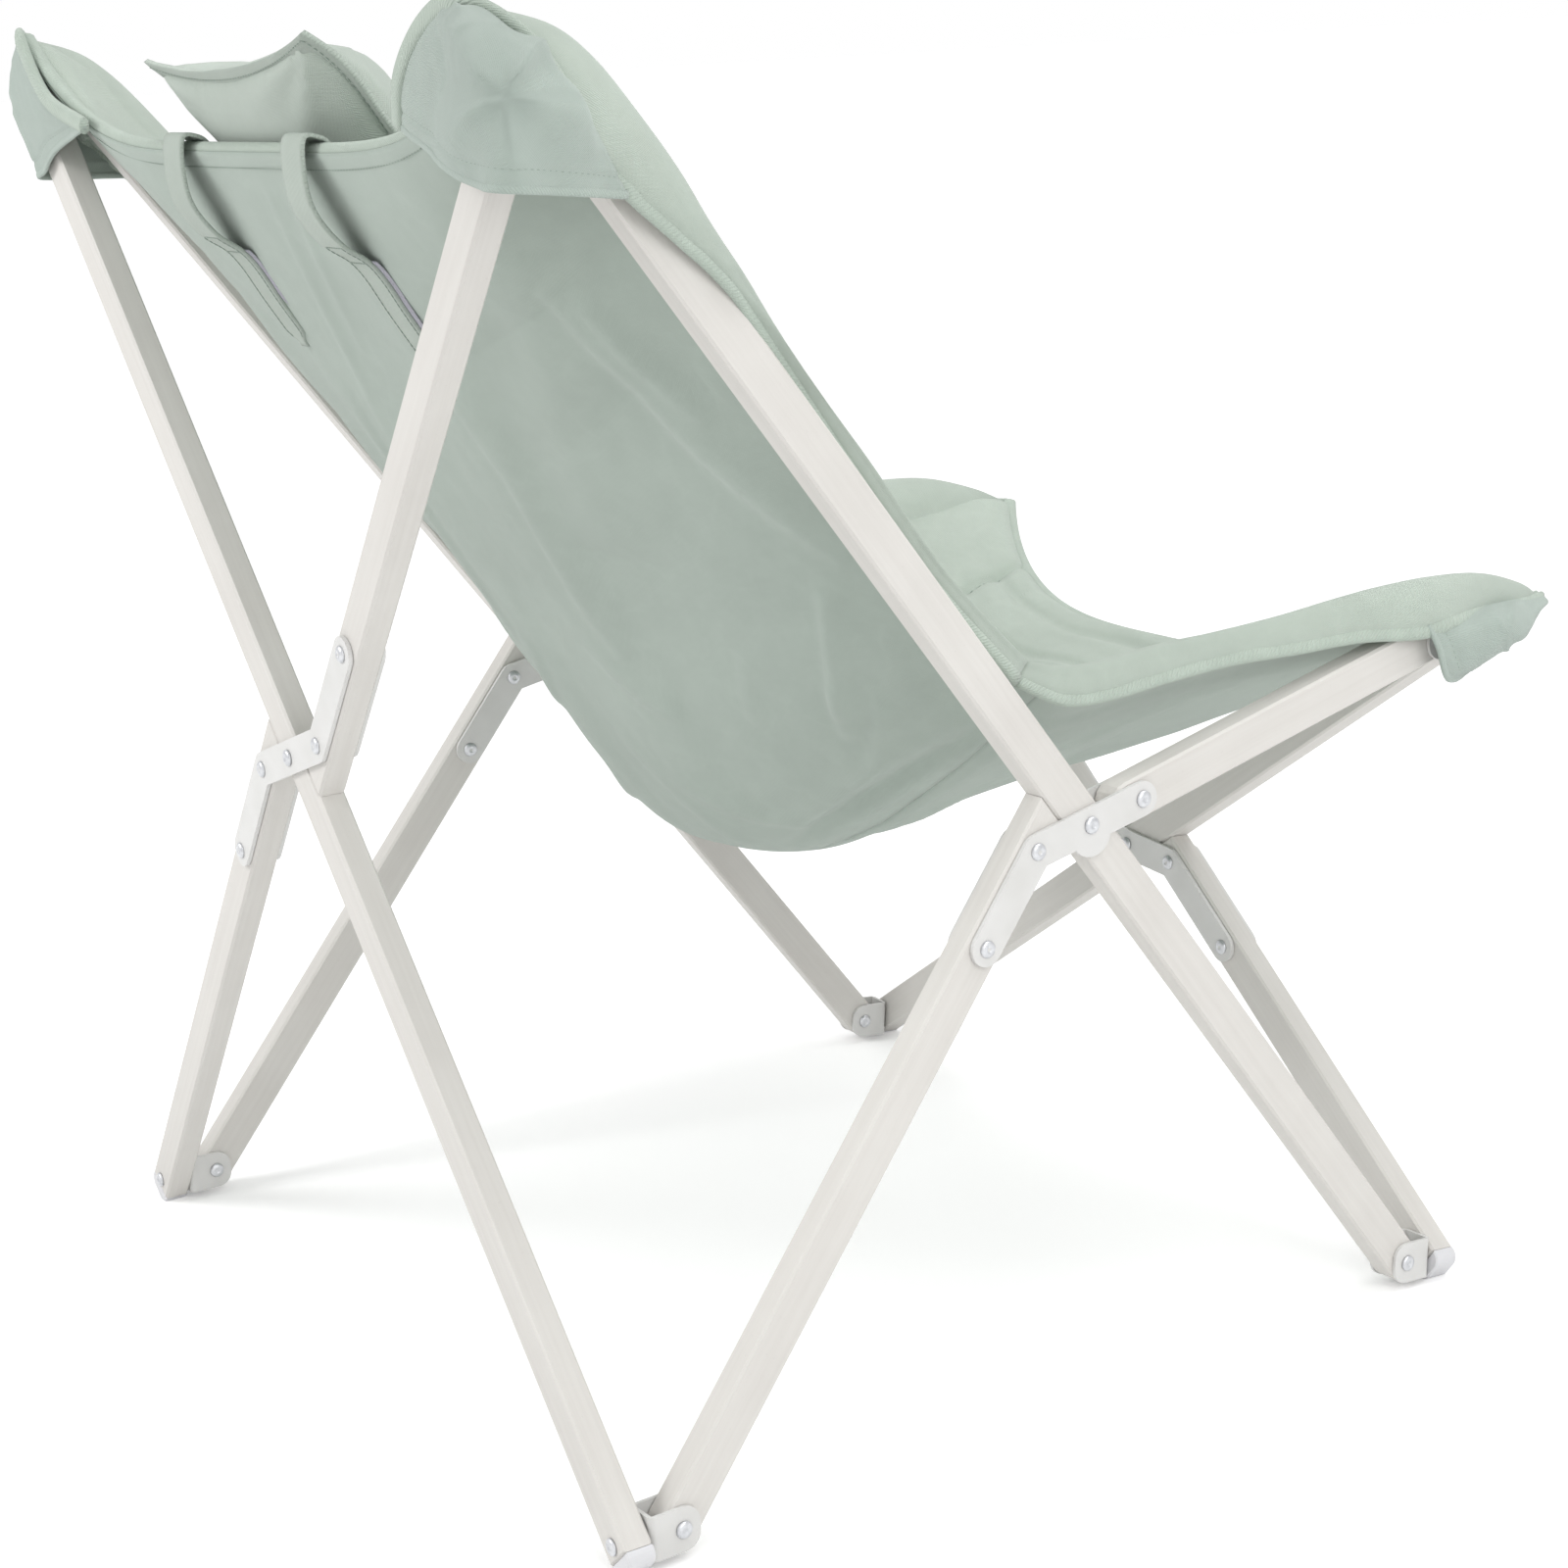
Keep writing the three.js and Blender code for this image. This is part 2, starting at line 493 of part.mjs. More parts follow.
// A bolt whose inner end stops flush with the bar, for the joint that is left open.
function studGeometry(outside) {
  const inside = -BAR_THICK / 2;
  const profile = [
    [0, inside], [SHANK_RADIUS, inside], [SHANK_RADIUS, outside], [HEAD_RADIUS, outside],
    [HEAD_RADIUS * 0.75, outside + HEAD_HEIGHT], [0, outside + HEAD_HEIGHT],
  ].map(([r, h]) => new THREE.Vector2(r, h));
  return new THREE.LatheGeometry(profile, 10).rotateX(Math.PI / 2);
}

addSwivel(back, back.rightFoot, 'rear_right_swivel_bolt', true);
addSwivel(back, back.leftFoot, 'rear_left_swivel_bolt', true);
addSwivel(front, front.rightFoot, 'front_right_swivel_bolt', false);
addSwivel(front, front.leftFoot, 'front_left_swivel_bolt', false);

// Sling: rows run from the back's top edge to the seat's front edge, columns from left to right

const vec = (x, y, z) => new THREE.Vector3(x, y, z);
const topEdge = vec(0, topCorner.y - TOP_EDGE_BEHIND, topCorner.z - TOP_EDGE_DROP);
const topApex = topCorner.clone().add(vec(...APEX_OVER_TOP));
const frontApex = frontCorner.clone().add(vec(...APEX_OVER_FRONT));

// The right edge lies in front of the straight bar, then over the seat arm.
function slingEdgeCurve() {
  const barAhead = leftOf(topPin.clone().sub(frontPin).normalize()).multiplyScalar(-1);
  const overBar = (share, extra, inwards) => {
    const centre = topPin.clone().lerp(sideCross, share);
    return sidePoint(barAhead.clone().multiplyScalar(BAR_WIDTH / 2 + BAR_TO_SLING + extra).add(centre), -inwards);
  };
  const overArm = (share, above, inwards) => {
    const centre = armBolt.clone().lerp(frontTopPin, share);
    return sidePoint(flat(0, BAR_WIDTH / 2 + above).add(centre), -inwards);
  };
  return new THREE.CatmullRomCurve3([
    topApex,
    overBar(-0.03, 12, -4), overBar(0.08, 6, -6), overBar(0.24, 3, -5), overBar(0.42, 0, 0), overBar(0.6, 0, 4),
    overBar(0.75, 8, 8), overBar(0.88, 26, 10),
    overArm(0.05, 62, 8), overArm(0.32, 45, 8), overArm(0.62, 31, 7), overArm(0.92, 17, 4), overArm(1.12, 11, 4),
    frontApex,
  ], false, 'centripetal');
}

// The middle of the sling: slack down the back, round the belly and up to the front edge.
function slingMiddleCurve() {
  const top = topEdge;
  const belly = vec(0, SIDE_CROSS_DEPTH - BELLY_BEHIND, frontCorner.z - BELLY_DROP);
  const lipHeight = frontCross + (frontCorner.z - frontCross) * FRONT_EDGE_RISE;
  const lip = vec(0, frontCorner.y + FRONT_EDGE_AHEAD, lipHeight);
  const below = (from, to) => vec(1, 0, 0).cross(to.clone().sub(from)).normalize().multiplyScalar(-1);
  const sag = (from, to, share, sink) => from.clone().lerp(to, share).addScaledVector(below(from, to), sink);
  const down = (share, sink) => sag(top, belly, share, sink);
  const out = (share, sink) => sag(belly, lip, share, sink);
  return new THREE.CatmullRomCurve3([
    top, down(0.12, 10), down(0.23, 17), down(0.35, 27), down(0.46, 34), down(0.58, 40), down(0.69, 46),
    down(0.8, 52), down(0.92, 43), belly, out(0.2, 8), out(0.4, 11), out(0.6, 8), out(0.8, 1), lip,
  ], false, 'centripetal');
}

const slingEdge = slingEdgeCurve();
const slingMiddle = slingMiddleCurve();
const CREASE = 0.6;               // the row where the back meets the seat
const EDGE_CREASE = 0.553;        // where that row starts, as a share of the edge's length
const MIDDLE_CREASE = 0.635;      // the same, along the middle
const SIDE_ROUND = 0.12;          // how softly a row turns in the middle
const rowShare = (row, crease) => (row < CREASE ? row / CREASE * crease
  : crease + (row - CREASE) / (1 - CREASE) * (1 - crease));
const slingRow = (row) => ({
  edge: slingEdge.getPointAt(rowShare(row, EDGE_CREASE)),
  middle: slingMiddle.getPointAt(rowShare(row, MIDDLE_CREASE)),
});

// How sharply a row of the sling turns up at its sides: sharp at the ends, nearly straight in the belly.
function sideTurn(row) {
  const steps = [[0, 4.3], [0.06, 3.3], [0.15, 1.75], [0.24, 1.25], [0.76, 1.25], [0.92, 2.2], [1, 2.3]];
  const next = Math.max(1, steps.findIndex(([at]) => at >= row));
  const [[from, low], [to, high]] = [steps[next - 1], steps[next]];
  return low + (high - low) * (row - from) / (to - from);
}

function slingPoint(column, row) {
  const { edge, middle } = slingRow(row);
  const soft = (share) => Math.hypot(share, SIDE_ROUND) - SIDE_ROUND;
  const point = middle.clone().lerp(edge, (soft(column) / soft(1)) ** sideTurn(row));
  point.x = edge.x * column;
  return point;
}

// The padded face in front of the sling's middle: low at the rims and behind the pillow.
function padAhead(column, row) {
  const rim = Math.min(1, (1 - Math.abs(column)) / 0.1, row / 0.05, (1 - row) / 0.05);
  const rest = Math.min(1, Math.max(0, (Math.abs(column) * 2 * topApex.x - PILLOW_WIDTH) / 80));
  const below = Math.min(1, Math.max(0, (rowShare(row, MIDDLE_CREASE) * slingMiddle.getLength() - PILLOW_BED) / 40));
  const full = PAD_UNDER_PILLOW + (PAD_AHEAD - PAD_UNDER_PILLOW) * Math.max(rest, below);
  return PAD_RIM + (full - PAD_RIM) * Math.max(0, rim);
}

// A closed shell round a grid of points: as far ahead and behind as given.
function shell(grid, ahead, behind, normals) {
  const rows = grid.length;
  const columns = grid[0].length;
  const positions = [];
  const faces = [];
  const normalAt = (i, j) => {
    if (normals) return normals[i][j];
    const across = grid[i][Math.min(j + 1, columns - 1)].clone().sub(grid[i][Math.max(j - 1, 0)]);
    const onward = grid[Math.min(i + 1, rows - 1)][j].clone().sub(grid[Math.max(i - 1, 0)][j]);
    return across.cross(onward).normalize();
  };
  [ahead, (i, j) => -behind].forEach((offset) => grid.forEach((line, i) => line.forEach((point, j) => {
    positions.push(...point.clone().addScaledVector(normalAt(i, j), offset(i, j)).toArray());
  })));
  const index = (side, i, j) => (side * rows + i) * columns + j;
  const quad = (a, b, c, d) => faces.push(a, b, c, a, c, d);
  for (let i = 0; i + 1 < rows; i += 1) {
    for (let j = 0; j + 1 < columns; j += 1) {
      quad(index(0, i, j), index(0, i, j + 1), index(0, i + 1, j + 1), index(0, i + 1, j));
      quad(index(1, i, j), index(1, i + 1, j), index(1, i + 1, j + 1), index(1, i, j + 1));
    }
  }
  for (let j = 0; j + 1 < columns; j += 1) {
    quad(index(0, 0, j), index(1, 0, j), index(1, 0, j + 1), index(0, 0, j + 1));
    quad(index(0, rows - 1, j), index(0, rows - 1, j + 1), index(1, rows - 1, j + 1), index(1, rows - 1, j));
  }
  for (let i = 0; i + 1 < rows; i += 1) {
    quad(index(0, i, 0), index(0, i + 1, 0), index(1, i + 1, 0), index(1, i, 0));
    quad(index(0, i, columns - 1), index(1, i, columns - 1), index(1, i + 1, columns - 1), index(0, i + 1, columns - 1));
  }
  const geometry = new THREE.BufferGeometry();
  geometry.setAttribute('position', new THREE.Float32BufferAttribute(positions, 3));
  geometry.setIndex(faces);
  geometry.computeVertexNormals();
  return geometry;
}

function slingNormal(column, row) {
  const step = 0.01;
  const inRange = (share) => Math.min(1, Math.max(0, share));
  const across = slingPoint(Math.min(1, column + step), row).sub(slingPoint(Math.max(-1, column - step), row));
  const onward = slingPoint(column, inRange(row + step)).sub(slingPoint(column, inRange(row - step)));
  return across.cross(onward).normalize();
}

// A stretch of the sling between two rows.
function slingShell(firstRow, lastRow, rows, columns) {
  const gridOf = (value) => Array.from({ length: rows + 1 }, (_, i) => (
    Array.from({ length: columns + 1 }, (__, j) => (
      value(2 * j / columns - 1, firstRow + (lastRow - firstRow) * i / rows)))));
  const pad = gridOf(padAhead);
  return shell(gridOf(slingPoint), (i, j) => pad[i][j], CANVAS_BEHIND, gridOf(slingNormal));
}

const mirrored = (point) => vec(-point.x, point.y, point.z);

// A corner pocket: ribs run from the sling's corner over the frame to the hem.
function pocketGeometry(ribs, isLeft) {
  const steps = 5;
  const curves = ribs.map((points) => new THREE.CatmullRomCurve3(points, false, 'centripetal'));
  const grid = Array.from({ length: steps + 1 }, (_, i) => {
    const ring = new THREE.CatmullRomCurve3(curves.map((curve) => curve.getPoint(i / steps)), false, 'centripetal');
    return ring.getPoints(8).map((point) => (isLeft ? mirrored(point) : point));
  });
  return shell(isLeft ? grid.map((line) => line.reverse()) : grid, () => POCKET_THICK / 2, POCKET_THICK / 2);
}

function topPocketRibs() {
  const rear = -YOKE_REACH - BAR_THICK / 2 - HEAD_HEIGHT - POCKET_ROOM + topCorner.y;
  const right = topCorner.x + BAR_WIDTH / 2 + BAR_TOP_END + POCKET_ROOM / 2;
  const hem = topCorner.z - TOP_POCKET_DROP;
  const mid = (topApex.z + hem) / 2;
  const apexAt = (dx, dy) => topApex.clone().add(vec(dx, dy, -2));
  return [
    [apexAt(-14, 0), slingPoint(0.86, 0.012), slingPoint(0.7, 0.008)],
    [apexAt(-9, -3), vec(right - 62, rear, mid + 8), vec(right - 78, rear, hem + 22)],
    [apexAt(0, -5), vec(right - 12, rear - 1, mid + 10), vec(right - 16, rear - 1, hem)],
    [apexAt(5, 0), vec(right, rear + 18, mid + 8), vec(right, rear + 18, hem - 2)],
    [apexAt(6, 8), vec(right, topCorner.y + 12, mid + 6), vec(right - 2, topCorner.y + 22, hem)],
    [apexAt(2, 14), slingPoint(0.995, 0.05), slingPoint(0.995, 0.1)],
  ];
}

// The hem of a front pocket runs aslant, so that the arm and the front bar both enter it.
function frontPocketRibs() {
  const right = frontCorner.x + BAR_TOP_END + POCKET_ROOM + HEAD_HEIGHT;
  const inner = right - 48;
  const low = frontCorner.z - YOKE_HEIGHT / 2 - POCKET_ROOM;
  const hem = frontCorner.y + FRONT_POCKET_HEM;
  const barFront = frontCorner.y + YOKE_REACH + BAR_THICK / 2 + HEAD_HEIGHT + POCKET_ROOM;
  const mid = barFront + 12;
  const apexAt = (dx, dz) => frontApex.clone().add(vec(dx, -2, dz));
  return [
    [apexAt(6, 2), slingPoint(0.99, 0.95), slingPoint(0.99, 0.9)],
    [apexAt(7, 0), vec(right - 4, mid, frontCorner.z + 20), vec(right - 4, hem, frontCorner.z + 25)],
    [apexAt(6, -3), vec(right, mid, frontCorner.z + 1), vec(right, hem, frontCorner.z + 4)],
    [apexAt(0, -6), vec(right - 8, mid + 4, low + 4), vec(right - 3, hem + 6, low - 4)],
    [apexAt(-6, -6), vec(inner, mid + 26, low - 2), vec(inner, barFront + 10, low - 14)],
    [apexAt(-12, 0), slingPoint(0.9, 0.995), slingPoint(0.8, 0.99)],
  ];
}

const SLING_GAP = 2 * FIT / slingMiddle.getLength();
const backShell = slingShell(0, CREASE - SLING_GAP, 18, 20);
const seatShell = slingShell(CREASE + SLING_GAP, 1, 14, 20);
const topPockets = [false, true].map((isLeft) => pocketGeometry(topPocketRibs(), isLeft));
const frontPockets = [false, true].map((isLeft) => pocketGeometry(frontPocketRibs(), isLeft));
addMesh(chair, 'sling_back', joinAll([backShell, ...topPockets]), canvas());
addMesh(chair, 'sling_seat', joinAll([seatShell, ...frontPockets]), canvas());

// Pillow: a crowned cushion with drawn-in sides, in front of the top edge

function pillowGeometry() {
  const steps = 16;
  const positions = [];
  const faces = [];
  const ids = new Map();
  const vertex = (i, j, side) => {
    const onRim = i === 0 || j === 0 || i === steps || j === steps;
    const key = `${i},${j},${onRim ? 0 : side}`;
    if (!ids.has(key)) {
      const s = 2 * i / steps - 1;
      const t = 2 * j / steps - 1;
      const crown = (side > 0 ? PILLOW_FRONT_CROWN : PILLOW_BACK_CROWN) * ((1 - s ** 4) * (1 - t ** 4)) ** 0.7;
      ids.set(key, positions.length / 3);
      positions.push(
        s * PILLOW_WIDTH / 2 * (1 - PILLOW_PULL * (1 - t * t)),
        side * crown - PILLOW_CURL * Math.max(0, t) ** 4,
        t * PILLOW_HEIGHT / 2 * (1 - PILLOW_PULL * (1 - s * s)),
      );
    }
    return ids.get(key);
  };
  for (let i = 0; i < steps; i += 1) {
    for (let j = 0; j < steps; j += 1) {
      [1, -1].forEach((side) => {
        const corners = [vertex(i, j, side), vertex(i + 1, j, side), vertex(i + 1, j + 1, side), vertex(i, j + 1, side)];
        if (side > 0) corners.reverse();
        faces.push(corners[0], corners[1], corners[2], corners[0], corners[2], corners[3]);
      });
    }
  }
  const geometry = new THREE.BufferGeometry();
  geometry.setAttribute('position', new THREE.Float32BufferAttribute(positions, 3));
  geometry.setIndex(faces);
  geometry.computeVertexNormals();
  return geometry;
}

const pillow = addMesh(chair, 'pillow', pillowGeometry(), cotton());
pillow.rotation.x = PILLOW_LEAN;
pillow.position.set(0, topEdge.y + PILLOW_AHEAD, topEdge.z - PILLOW_DROP);

// Straps: from behind the pillow over the top edge, out in a loop and down the back of the sling

// One long edge of a strap.
function strapEdge(x) {
  const column = x / slingEdge.getPoint(0).x;
  const off = CANVAS_BEHIND + PILLOW_STRAP_THICK / 2 + 3 * FIT;
  const onBack = (drop, stand) => {
    const row = drop / slingMiddle.getLength() / MIDDLE_CREASE * CREASE;
    const behind = slingNormal(column, row).setX(0).normalize();
    return slingPoint(column, row).addScaledVector(behind, -(off + stand)).setX(x);
  };
  const edge = slingPoint(column, 0).setX(x);
  return new THREE.CatmullRomCurve3([
    edge.clone().add(vec(0, 2, off + 1)),
    edge.clone().add(vec(0, -off, off)),
    onBack(14, STRAP_LOOP * 0.7), onBack(38, STRAP_LOOP), onBack(64, STRAP_LOOP * 0.4),
    onBack(82, 1.5), onBack(112, 0), onBack(STRAP_DROP, 0),
  ], false, 'centripetal').getPoints(26);
}

function strapGrid(middleX) {
  const left = strapEdge(middleX - PILLOW_STRAP_WIDTH / 2);
  const right = strapEdge(middleX + PILLOW_STRAP_WIDTH / 2);
  return left.map((point, i) => [point, right[i]]);
}

[['right', 1], ['left', -1]].forEach(([word, side]) => {
  addMesh(chair, `pillow_strap_${word}`, shell(strapGrid(side * STRAP_SPACING / 2), () => PILLOW_STRAP_THICK / 2, PILLOW_STRAP_THICK / 2), cotton());
});

export default chair;
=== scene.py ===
import json
import math

import bmesh
import bpy
import numpy as np
from mathutils import Matrix, Vector, noise


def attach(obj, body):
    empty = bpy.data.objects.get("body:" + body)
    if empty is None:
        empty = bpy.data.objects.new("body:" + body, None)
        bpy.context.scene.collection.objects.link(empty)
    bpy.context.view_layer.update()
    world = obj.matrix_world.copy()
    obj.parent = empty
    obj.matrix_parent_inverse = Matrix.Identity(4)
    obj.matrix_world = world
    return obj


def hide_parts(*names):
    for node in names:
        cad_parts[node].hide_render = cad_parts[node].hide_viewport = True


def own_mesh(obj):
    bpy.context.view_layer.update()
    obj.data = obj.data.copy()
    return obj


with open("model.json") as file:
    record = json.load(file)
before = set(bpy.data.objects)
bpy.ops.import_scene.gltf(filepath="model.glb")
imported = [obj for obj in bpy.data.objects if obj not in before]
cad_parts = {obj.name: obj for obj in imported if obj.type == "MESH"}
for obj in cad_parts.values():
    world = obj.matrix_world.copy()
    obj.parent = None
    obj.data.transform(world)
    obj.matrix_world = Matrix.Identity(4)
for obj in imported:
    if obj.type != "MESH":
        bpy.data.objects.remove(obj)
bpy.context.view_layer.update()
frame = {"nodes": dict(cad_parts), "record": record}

nodes = frame["nodes"]
joints = {joint["name"]: joint for joint in frame["record"]["behaviour"]["joints"]}

# Points below are in millimetres, with y counted from the rear foot pins.
REAR_PINS = 353.0


def place(points):
    """Points in the chair's plan, in millimetres, as points in the row frame, in metres."""
    return (np.asarray(points, float) - (0.0, REAR_PINS, 0.0)) / 1000.0


# Materials

class Sock:
    """An output socket that can be used in sums like a number."""

    def __init__(self, shader, out):
        self.shader = shader
        self.out = out

    def __add__(self, other):
        return self.shader.math("ADD", self, other)

    def __radd__(self, other):
        return self.shader.math("ADD", other, self)

    def __sub__(self, other):
        return self.shader.math("SUBTRACT", self, other)

    def __rsub__(self, other):
        return self.shader.math("SUBTRACT", other, self)

    def __mul__(self, other):
        return self.shader.math("MULTIPLY", self, other)

    def __rmul__(self, other):
        return self.shader.math("MULTIPLY", other, self)

    def sin(self):
        return self.shader.math("SINE", self)

    def abs(self):
        return self.shader.math("ABSOLUTE", self)

    def ramp(self, low, high):
        """Nought at the low value, one at the high value, and straight in between."""
        limits = {"From Min": low, "From Max": high}
        return self.shader.sock(self.shader.node("ShaderNodeMapRange", {"Value": self, **limits}))


class NodeMaker:
    """Adds nodes to the tree of a material or of the world."""

    def __init__(self, tree):
        self.tree = tree

    def node(self, kind, inputs=None, **settings):
        made = self.tree.nodes.new(kind)
        for key, value in settings.items():
            setattr(made, key, value)
        for key, value in (inputs or {}).items():
            self.feed(made.inputs[key], value)
        return made

    def feed(self, socket, value):
        if isinstance(value, Sock):
            self.tree.links.new(value.out, socket)
        else:
            socket.default_value = value

    def sock(self, made, output=0):
        return Sock(self, made.outputs[output])

    def math(self, operation, *values):
        return self.sock(self.node("ShaderNodeMath", dict(enumerate(values)), operation=operation))

    def seen(self):
        """One where a ray comes from the camera, a mirror or glass, so that the object's own light stays."""
        rays = self.node("ShaderNodeLightPath")
        names = ("Is Camera Ray", "Is Glossy Ray", "Is Transmission Ray")
        direct, mirrored, passed = (self.sock(rays, name) for name in names)
        return direct + mirrored + passed


class Shader(NodeMaker):
    """A material with its Principled shader."""

    def __init__(self, name, **constants):
        self.material = bpy.data.materials.new(name)
        self.material.use_nodes = True
        super().__init__(self.material.node_tree)
        self.bsdf = self.tree.nodes["Principled BSDF"]
        for key, value in constants.items():
            self.bsdf.inputs[key.replace("_", " ")].default_value = value

    def place(self, scale=(1, 1, 1), rotation=(0, 0, 0)):
        """Object coordinates, turned and then scaled."""
        coords = self.sock(self.node("ShaderNodeTexCoord"), "Object")
        turned = self.node("ShaderNodeMapping", {"Vector": coords, "Rotation": rotation})
        stretched = self.node("ShaderNodeMapping", {"Vector": self.sock(turned), "Scale": scale})
        return self.sock(stretched)

    def noise(self, scale, detail=2.0, roughness=0.5, vector=None):
        where = vector or self.place()
        grain = {"Scale": scale, "Detail": detail, "Roughness": roughness}
        return self.sock(self.node("ShaderNodeTexNoise", {"Vector": where, **grain}), "Fac")

    def uv(self):
        """The cloth's own two directions, in metres."""
        flat = self.sock(self.node("ShaderNodeUVMap", uv_map="cloth"))
        split = self.node("ShaderNodeSeparateXYZ", {"Vector": flat})
        return self.sock(split, 0), self.sock(split, 1)

    def colour(self, factor, low, high, socket="Base Color"):
        made = self.node("ShaderNodeMix", {0: factor, 6: (*low, 1), 7: (*high, 1)}, data_type="RGBA")
        self.feed(self.bsdf.inputs[socket], self.sock(made, 2))

    def bump(self, height, strength, distance):
        made = self.node("ShaderNodeBump", {"Strength": strength, "Distance": distance, "Height": height})
        self.feed(self.bsdf.inputs["Normal"], self.sock(made))


def scaled(colour, factor):
    return tuple(channel * factor for channel in colour)


def painted_wood(name, direction):
    """Brushed white paint with faint grain along the bar."""
    shader = Shader(name, Roughness=0.5, Specular_IOR_Level=0.35)
    turn = Vector(direction).rotation_difference(Vector((1, 0, 0))).to_euler()
    along = shader.place((6, 260, 260), tuple(turn))
    grain = shader.noise(1.0, 3.0, 0.6, along)
    mottle = shader.noise(14.0, 3.0)
    speck = shader.noise(420.0, 1.0).ramp(0.68, 0.8)
    tone = grain.ramp(0.3, 0.75) * 0.45 + mottle.ramp(0.3, 0.7) * 0.4 - speck * 0.25
    shader.colour(tone, (0.585, 0.565, 0.535), (0.665, 0.65, 0.62))
    shader.feed(shader.bsdf.inputs["Roughness"], mottle * 0.2 + 0.4)
    shader.bump(grain * 0.7 + speck * 0.4, 0.12, 0.0006)
    return shader.material


def powder_coat():
    shader = Shader("bracket_paint", Roughness=0.38, Specular_IOR_Level=0.5)
    peel = shader.noise(900.0, 2.0)
    mottle = shader.noise(30.0, 2.0)
    shader.colour(mottle.ramp(0.3, 0.7), (0.60, 0.597, 0.58), (0.65, 0.647, 0.635))
    shader.bump(peel, 0.1, 0.0004)
    return shader.material


def zinc():
    shader = Shader("zinc", Metallic=0.85, Roughness=0.38)
    cloud = shader.noise(260.0, 3.0)
    shader.colour(cloud.ramp(0.3, 0.7), (0.50, 0.51, 0.53), (0.66, 0.67, 0.69))
    shader.feed(shader.bsdf.inputs["Roughness"], cloud * 0.3 + 0.25)
    shader.bump(cloud, 0.1, 0.0003)
    return shader.material


def cap_plastic():
    shader = Shader("cap_plastic", Roughness=0.42, Specular_IOR_Level=0.5)
    grain = shader.noise(700.0, 2.0)
    cloud = shader.noise(25.0, 2.0)
    shader.colour(cloud.ramp(0.3, 0.7), (0.60, 0.60, 0.615), (0.65, 0.65, 0.67))
    shader.bump(grain, 0.08, 0.0003)
    return shader.material


def woven(name, colour, twill_mm, depth, fuzz=0.25):
    """Woven cloth: twill lines, crossing yarns and uneven dye along the cloth's own directions."""
    shader = Shader(name, Roughness=0.92, Specular_IOR_Level=0.15, Sheen_Weight=0.25, Sheen_Roughness=0.6)
    across, onward = shader.uv()
    turns = 2 * math.pi / (twill_mm / 1000)
    twill = ((across * 1.35 + onward) * turns).sin()
    yarn = (across * (turns * 1.7)).sin() * (onward * (turns * 1.7)).sin()
    slub = shader.noise(55.0, 4.0, 0.7)
    cloud = shader.noise(7.0, 3.0)
    worn = 1 - (shader.noise(11.0, 3.0, 0.6) * 2 - 1).abs().ramp(0.0, 0.07)
    dye = slub.ramp(0.25, 0.75) * 0.35 + cloud.ramp(0.25, 0.75) * 0.5
    tone = twill * 0.10 + yarn * 0.08 + dye + worn * 0.12
    shader.colour(tone, scaled(colour, 1 - fuzz * 0.45), scaled(colour, 1 + fuzz * 0.28))
    shader.feed(shader.bsdf.inputs["Roughness"], slub * 0.12 + 0.84)
    shader.bump(twill * 0.5 + yarn * 0.35 + slub * 1.2 + worn * 0.5, depth, 0.0008)
    return shader.material


CANVAS = woven("canvas", (0.362, 0.423, 0.375), 1.5, 0.3)
POCKET_CLOTH = woven("pocket_twill", (0.385, 0.452, 0.408), 2.0, 0.5)
TWILL = woven("pad_twill", (0.44, 0.507, 0.443), 2.2, 0.5)
PILLOW_CLOTH = woven("pillow_twill", (0.412, 0.47, 0.417), 2.2, 0.5)
TAPE = woven("binding_tape", (0.425, 0.495, 0.43), 2.6, 0.55, 0.35)
# Stitch thread: its own green-grey darkened by about a fifth, as painted shade for the dark dashes along the
# stitch rows
THREAD_WITH_PAINTED_SHADE = woven("thread_with_painted_shade", (0.27, 0.33, 0.285), 0.6, 0.3)
HOOKS = woven("hook_tape", (0.66, 0.65, 0.74), 1.1, 0.8)
ZINC = zinc()
BRACKET_PAINT = powder_coat()
CAP_PLASTIC = cap_plastic()


# Frame: the CAD bars, brackets and bolts keep their shapes and take painted finishes

def mesh_points(mesh):
    points = np.empty(len(mesh.vertices) * 3)
    mesh.vertices.foreach_get("co", points)
    return points.reshape(-1, 3)


def node_points(name):
    return mesh_points(nodes[name].data)


def dress(name, material):
    mesh = nodes[name].data
    mesh.materials.clear()
    mesh.materials.append(material)


def long_axis(points):
    middle = points - points.mean(0)
    return np.linalg.svd(middle, full_matrices=False)[2][0]


for name, node in nodes.items():
    if name.endswith(("_bar", "_seat_arm")):
        dress(name, painted_wood(f"paint_{name}", long_axis(node_points(name))))
        soften = node.modifiers.new("eased", "BEVEL")
        soften.width = 0.0007
        soften.segments = 2
        soften.limit_method = "ANGLE"
        soften.angle_limit = math.radians(25)
    elif "_plate_" in name or name.endswith("_yoke"):
        dress(name, BRACKET_PAINT)
    elif name.endswith(("_bolt", "_pin")):
        dress(name, ZINC)
    elif name.endswith("_foot_cap"):
        dress(name, CAP_PLASTIC)


# Meshes for cloth

def add_object(name, mesh, material):
    mesh.materials.append(material)
    made = bpy.data.objects.new(name, mesh)
    bpy.context.collection.objects.link(made)
    return made


def run_lengths(points, axis):
    steps = np.linalg.norm(np.diff(points, axis=axis), axis=2)
    first = np.zeros_like(np.take(steps, [0], axis))
    return np.concatenate([first, np.cumsum(steps, axis)], axis)


def faces_of_grid(rows, columns, start=0, flip=False, wrap=False):
    index = np.arange(rows * columns).reshape(rows, columns) + start
    if wrap:
        index = np.hstack([index, index[:, :1]])
    quads = np.stack([index[:-1, :-1], index[:-1, 1:], index[1:, 1:], index[1:, :-1]], -1).reshape(-1, 4)
    return quads[:, ::-1] if flip else quads


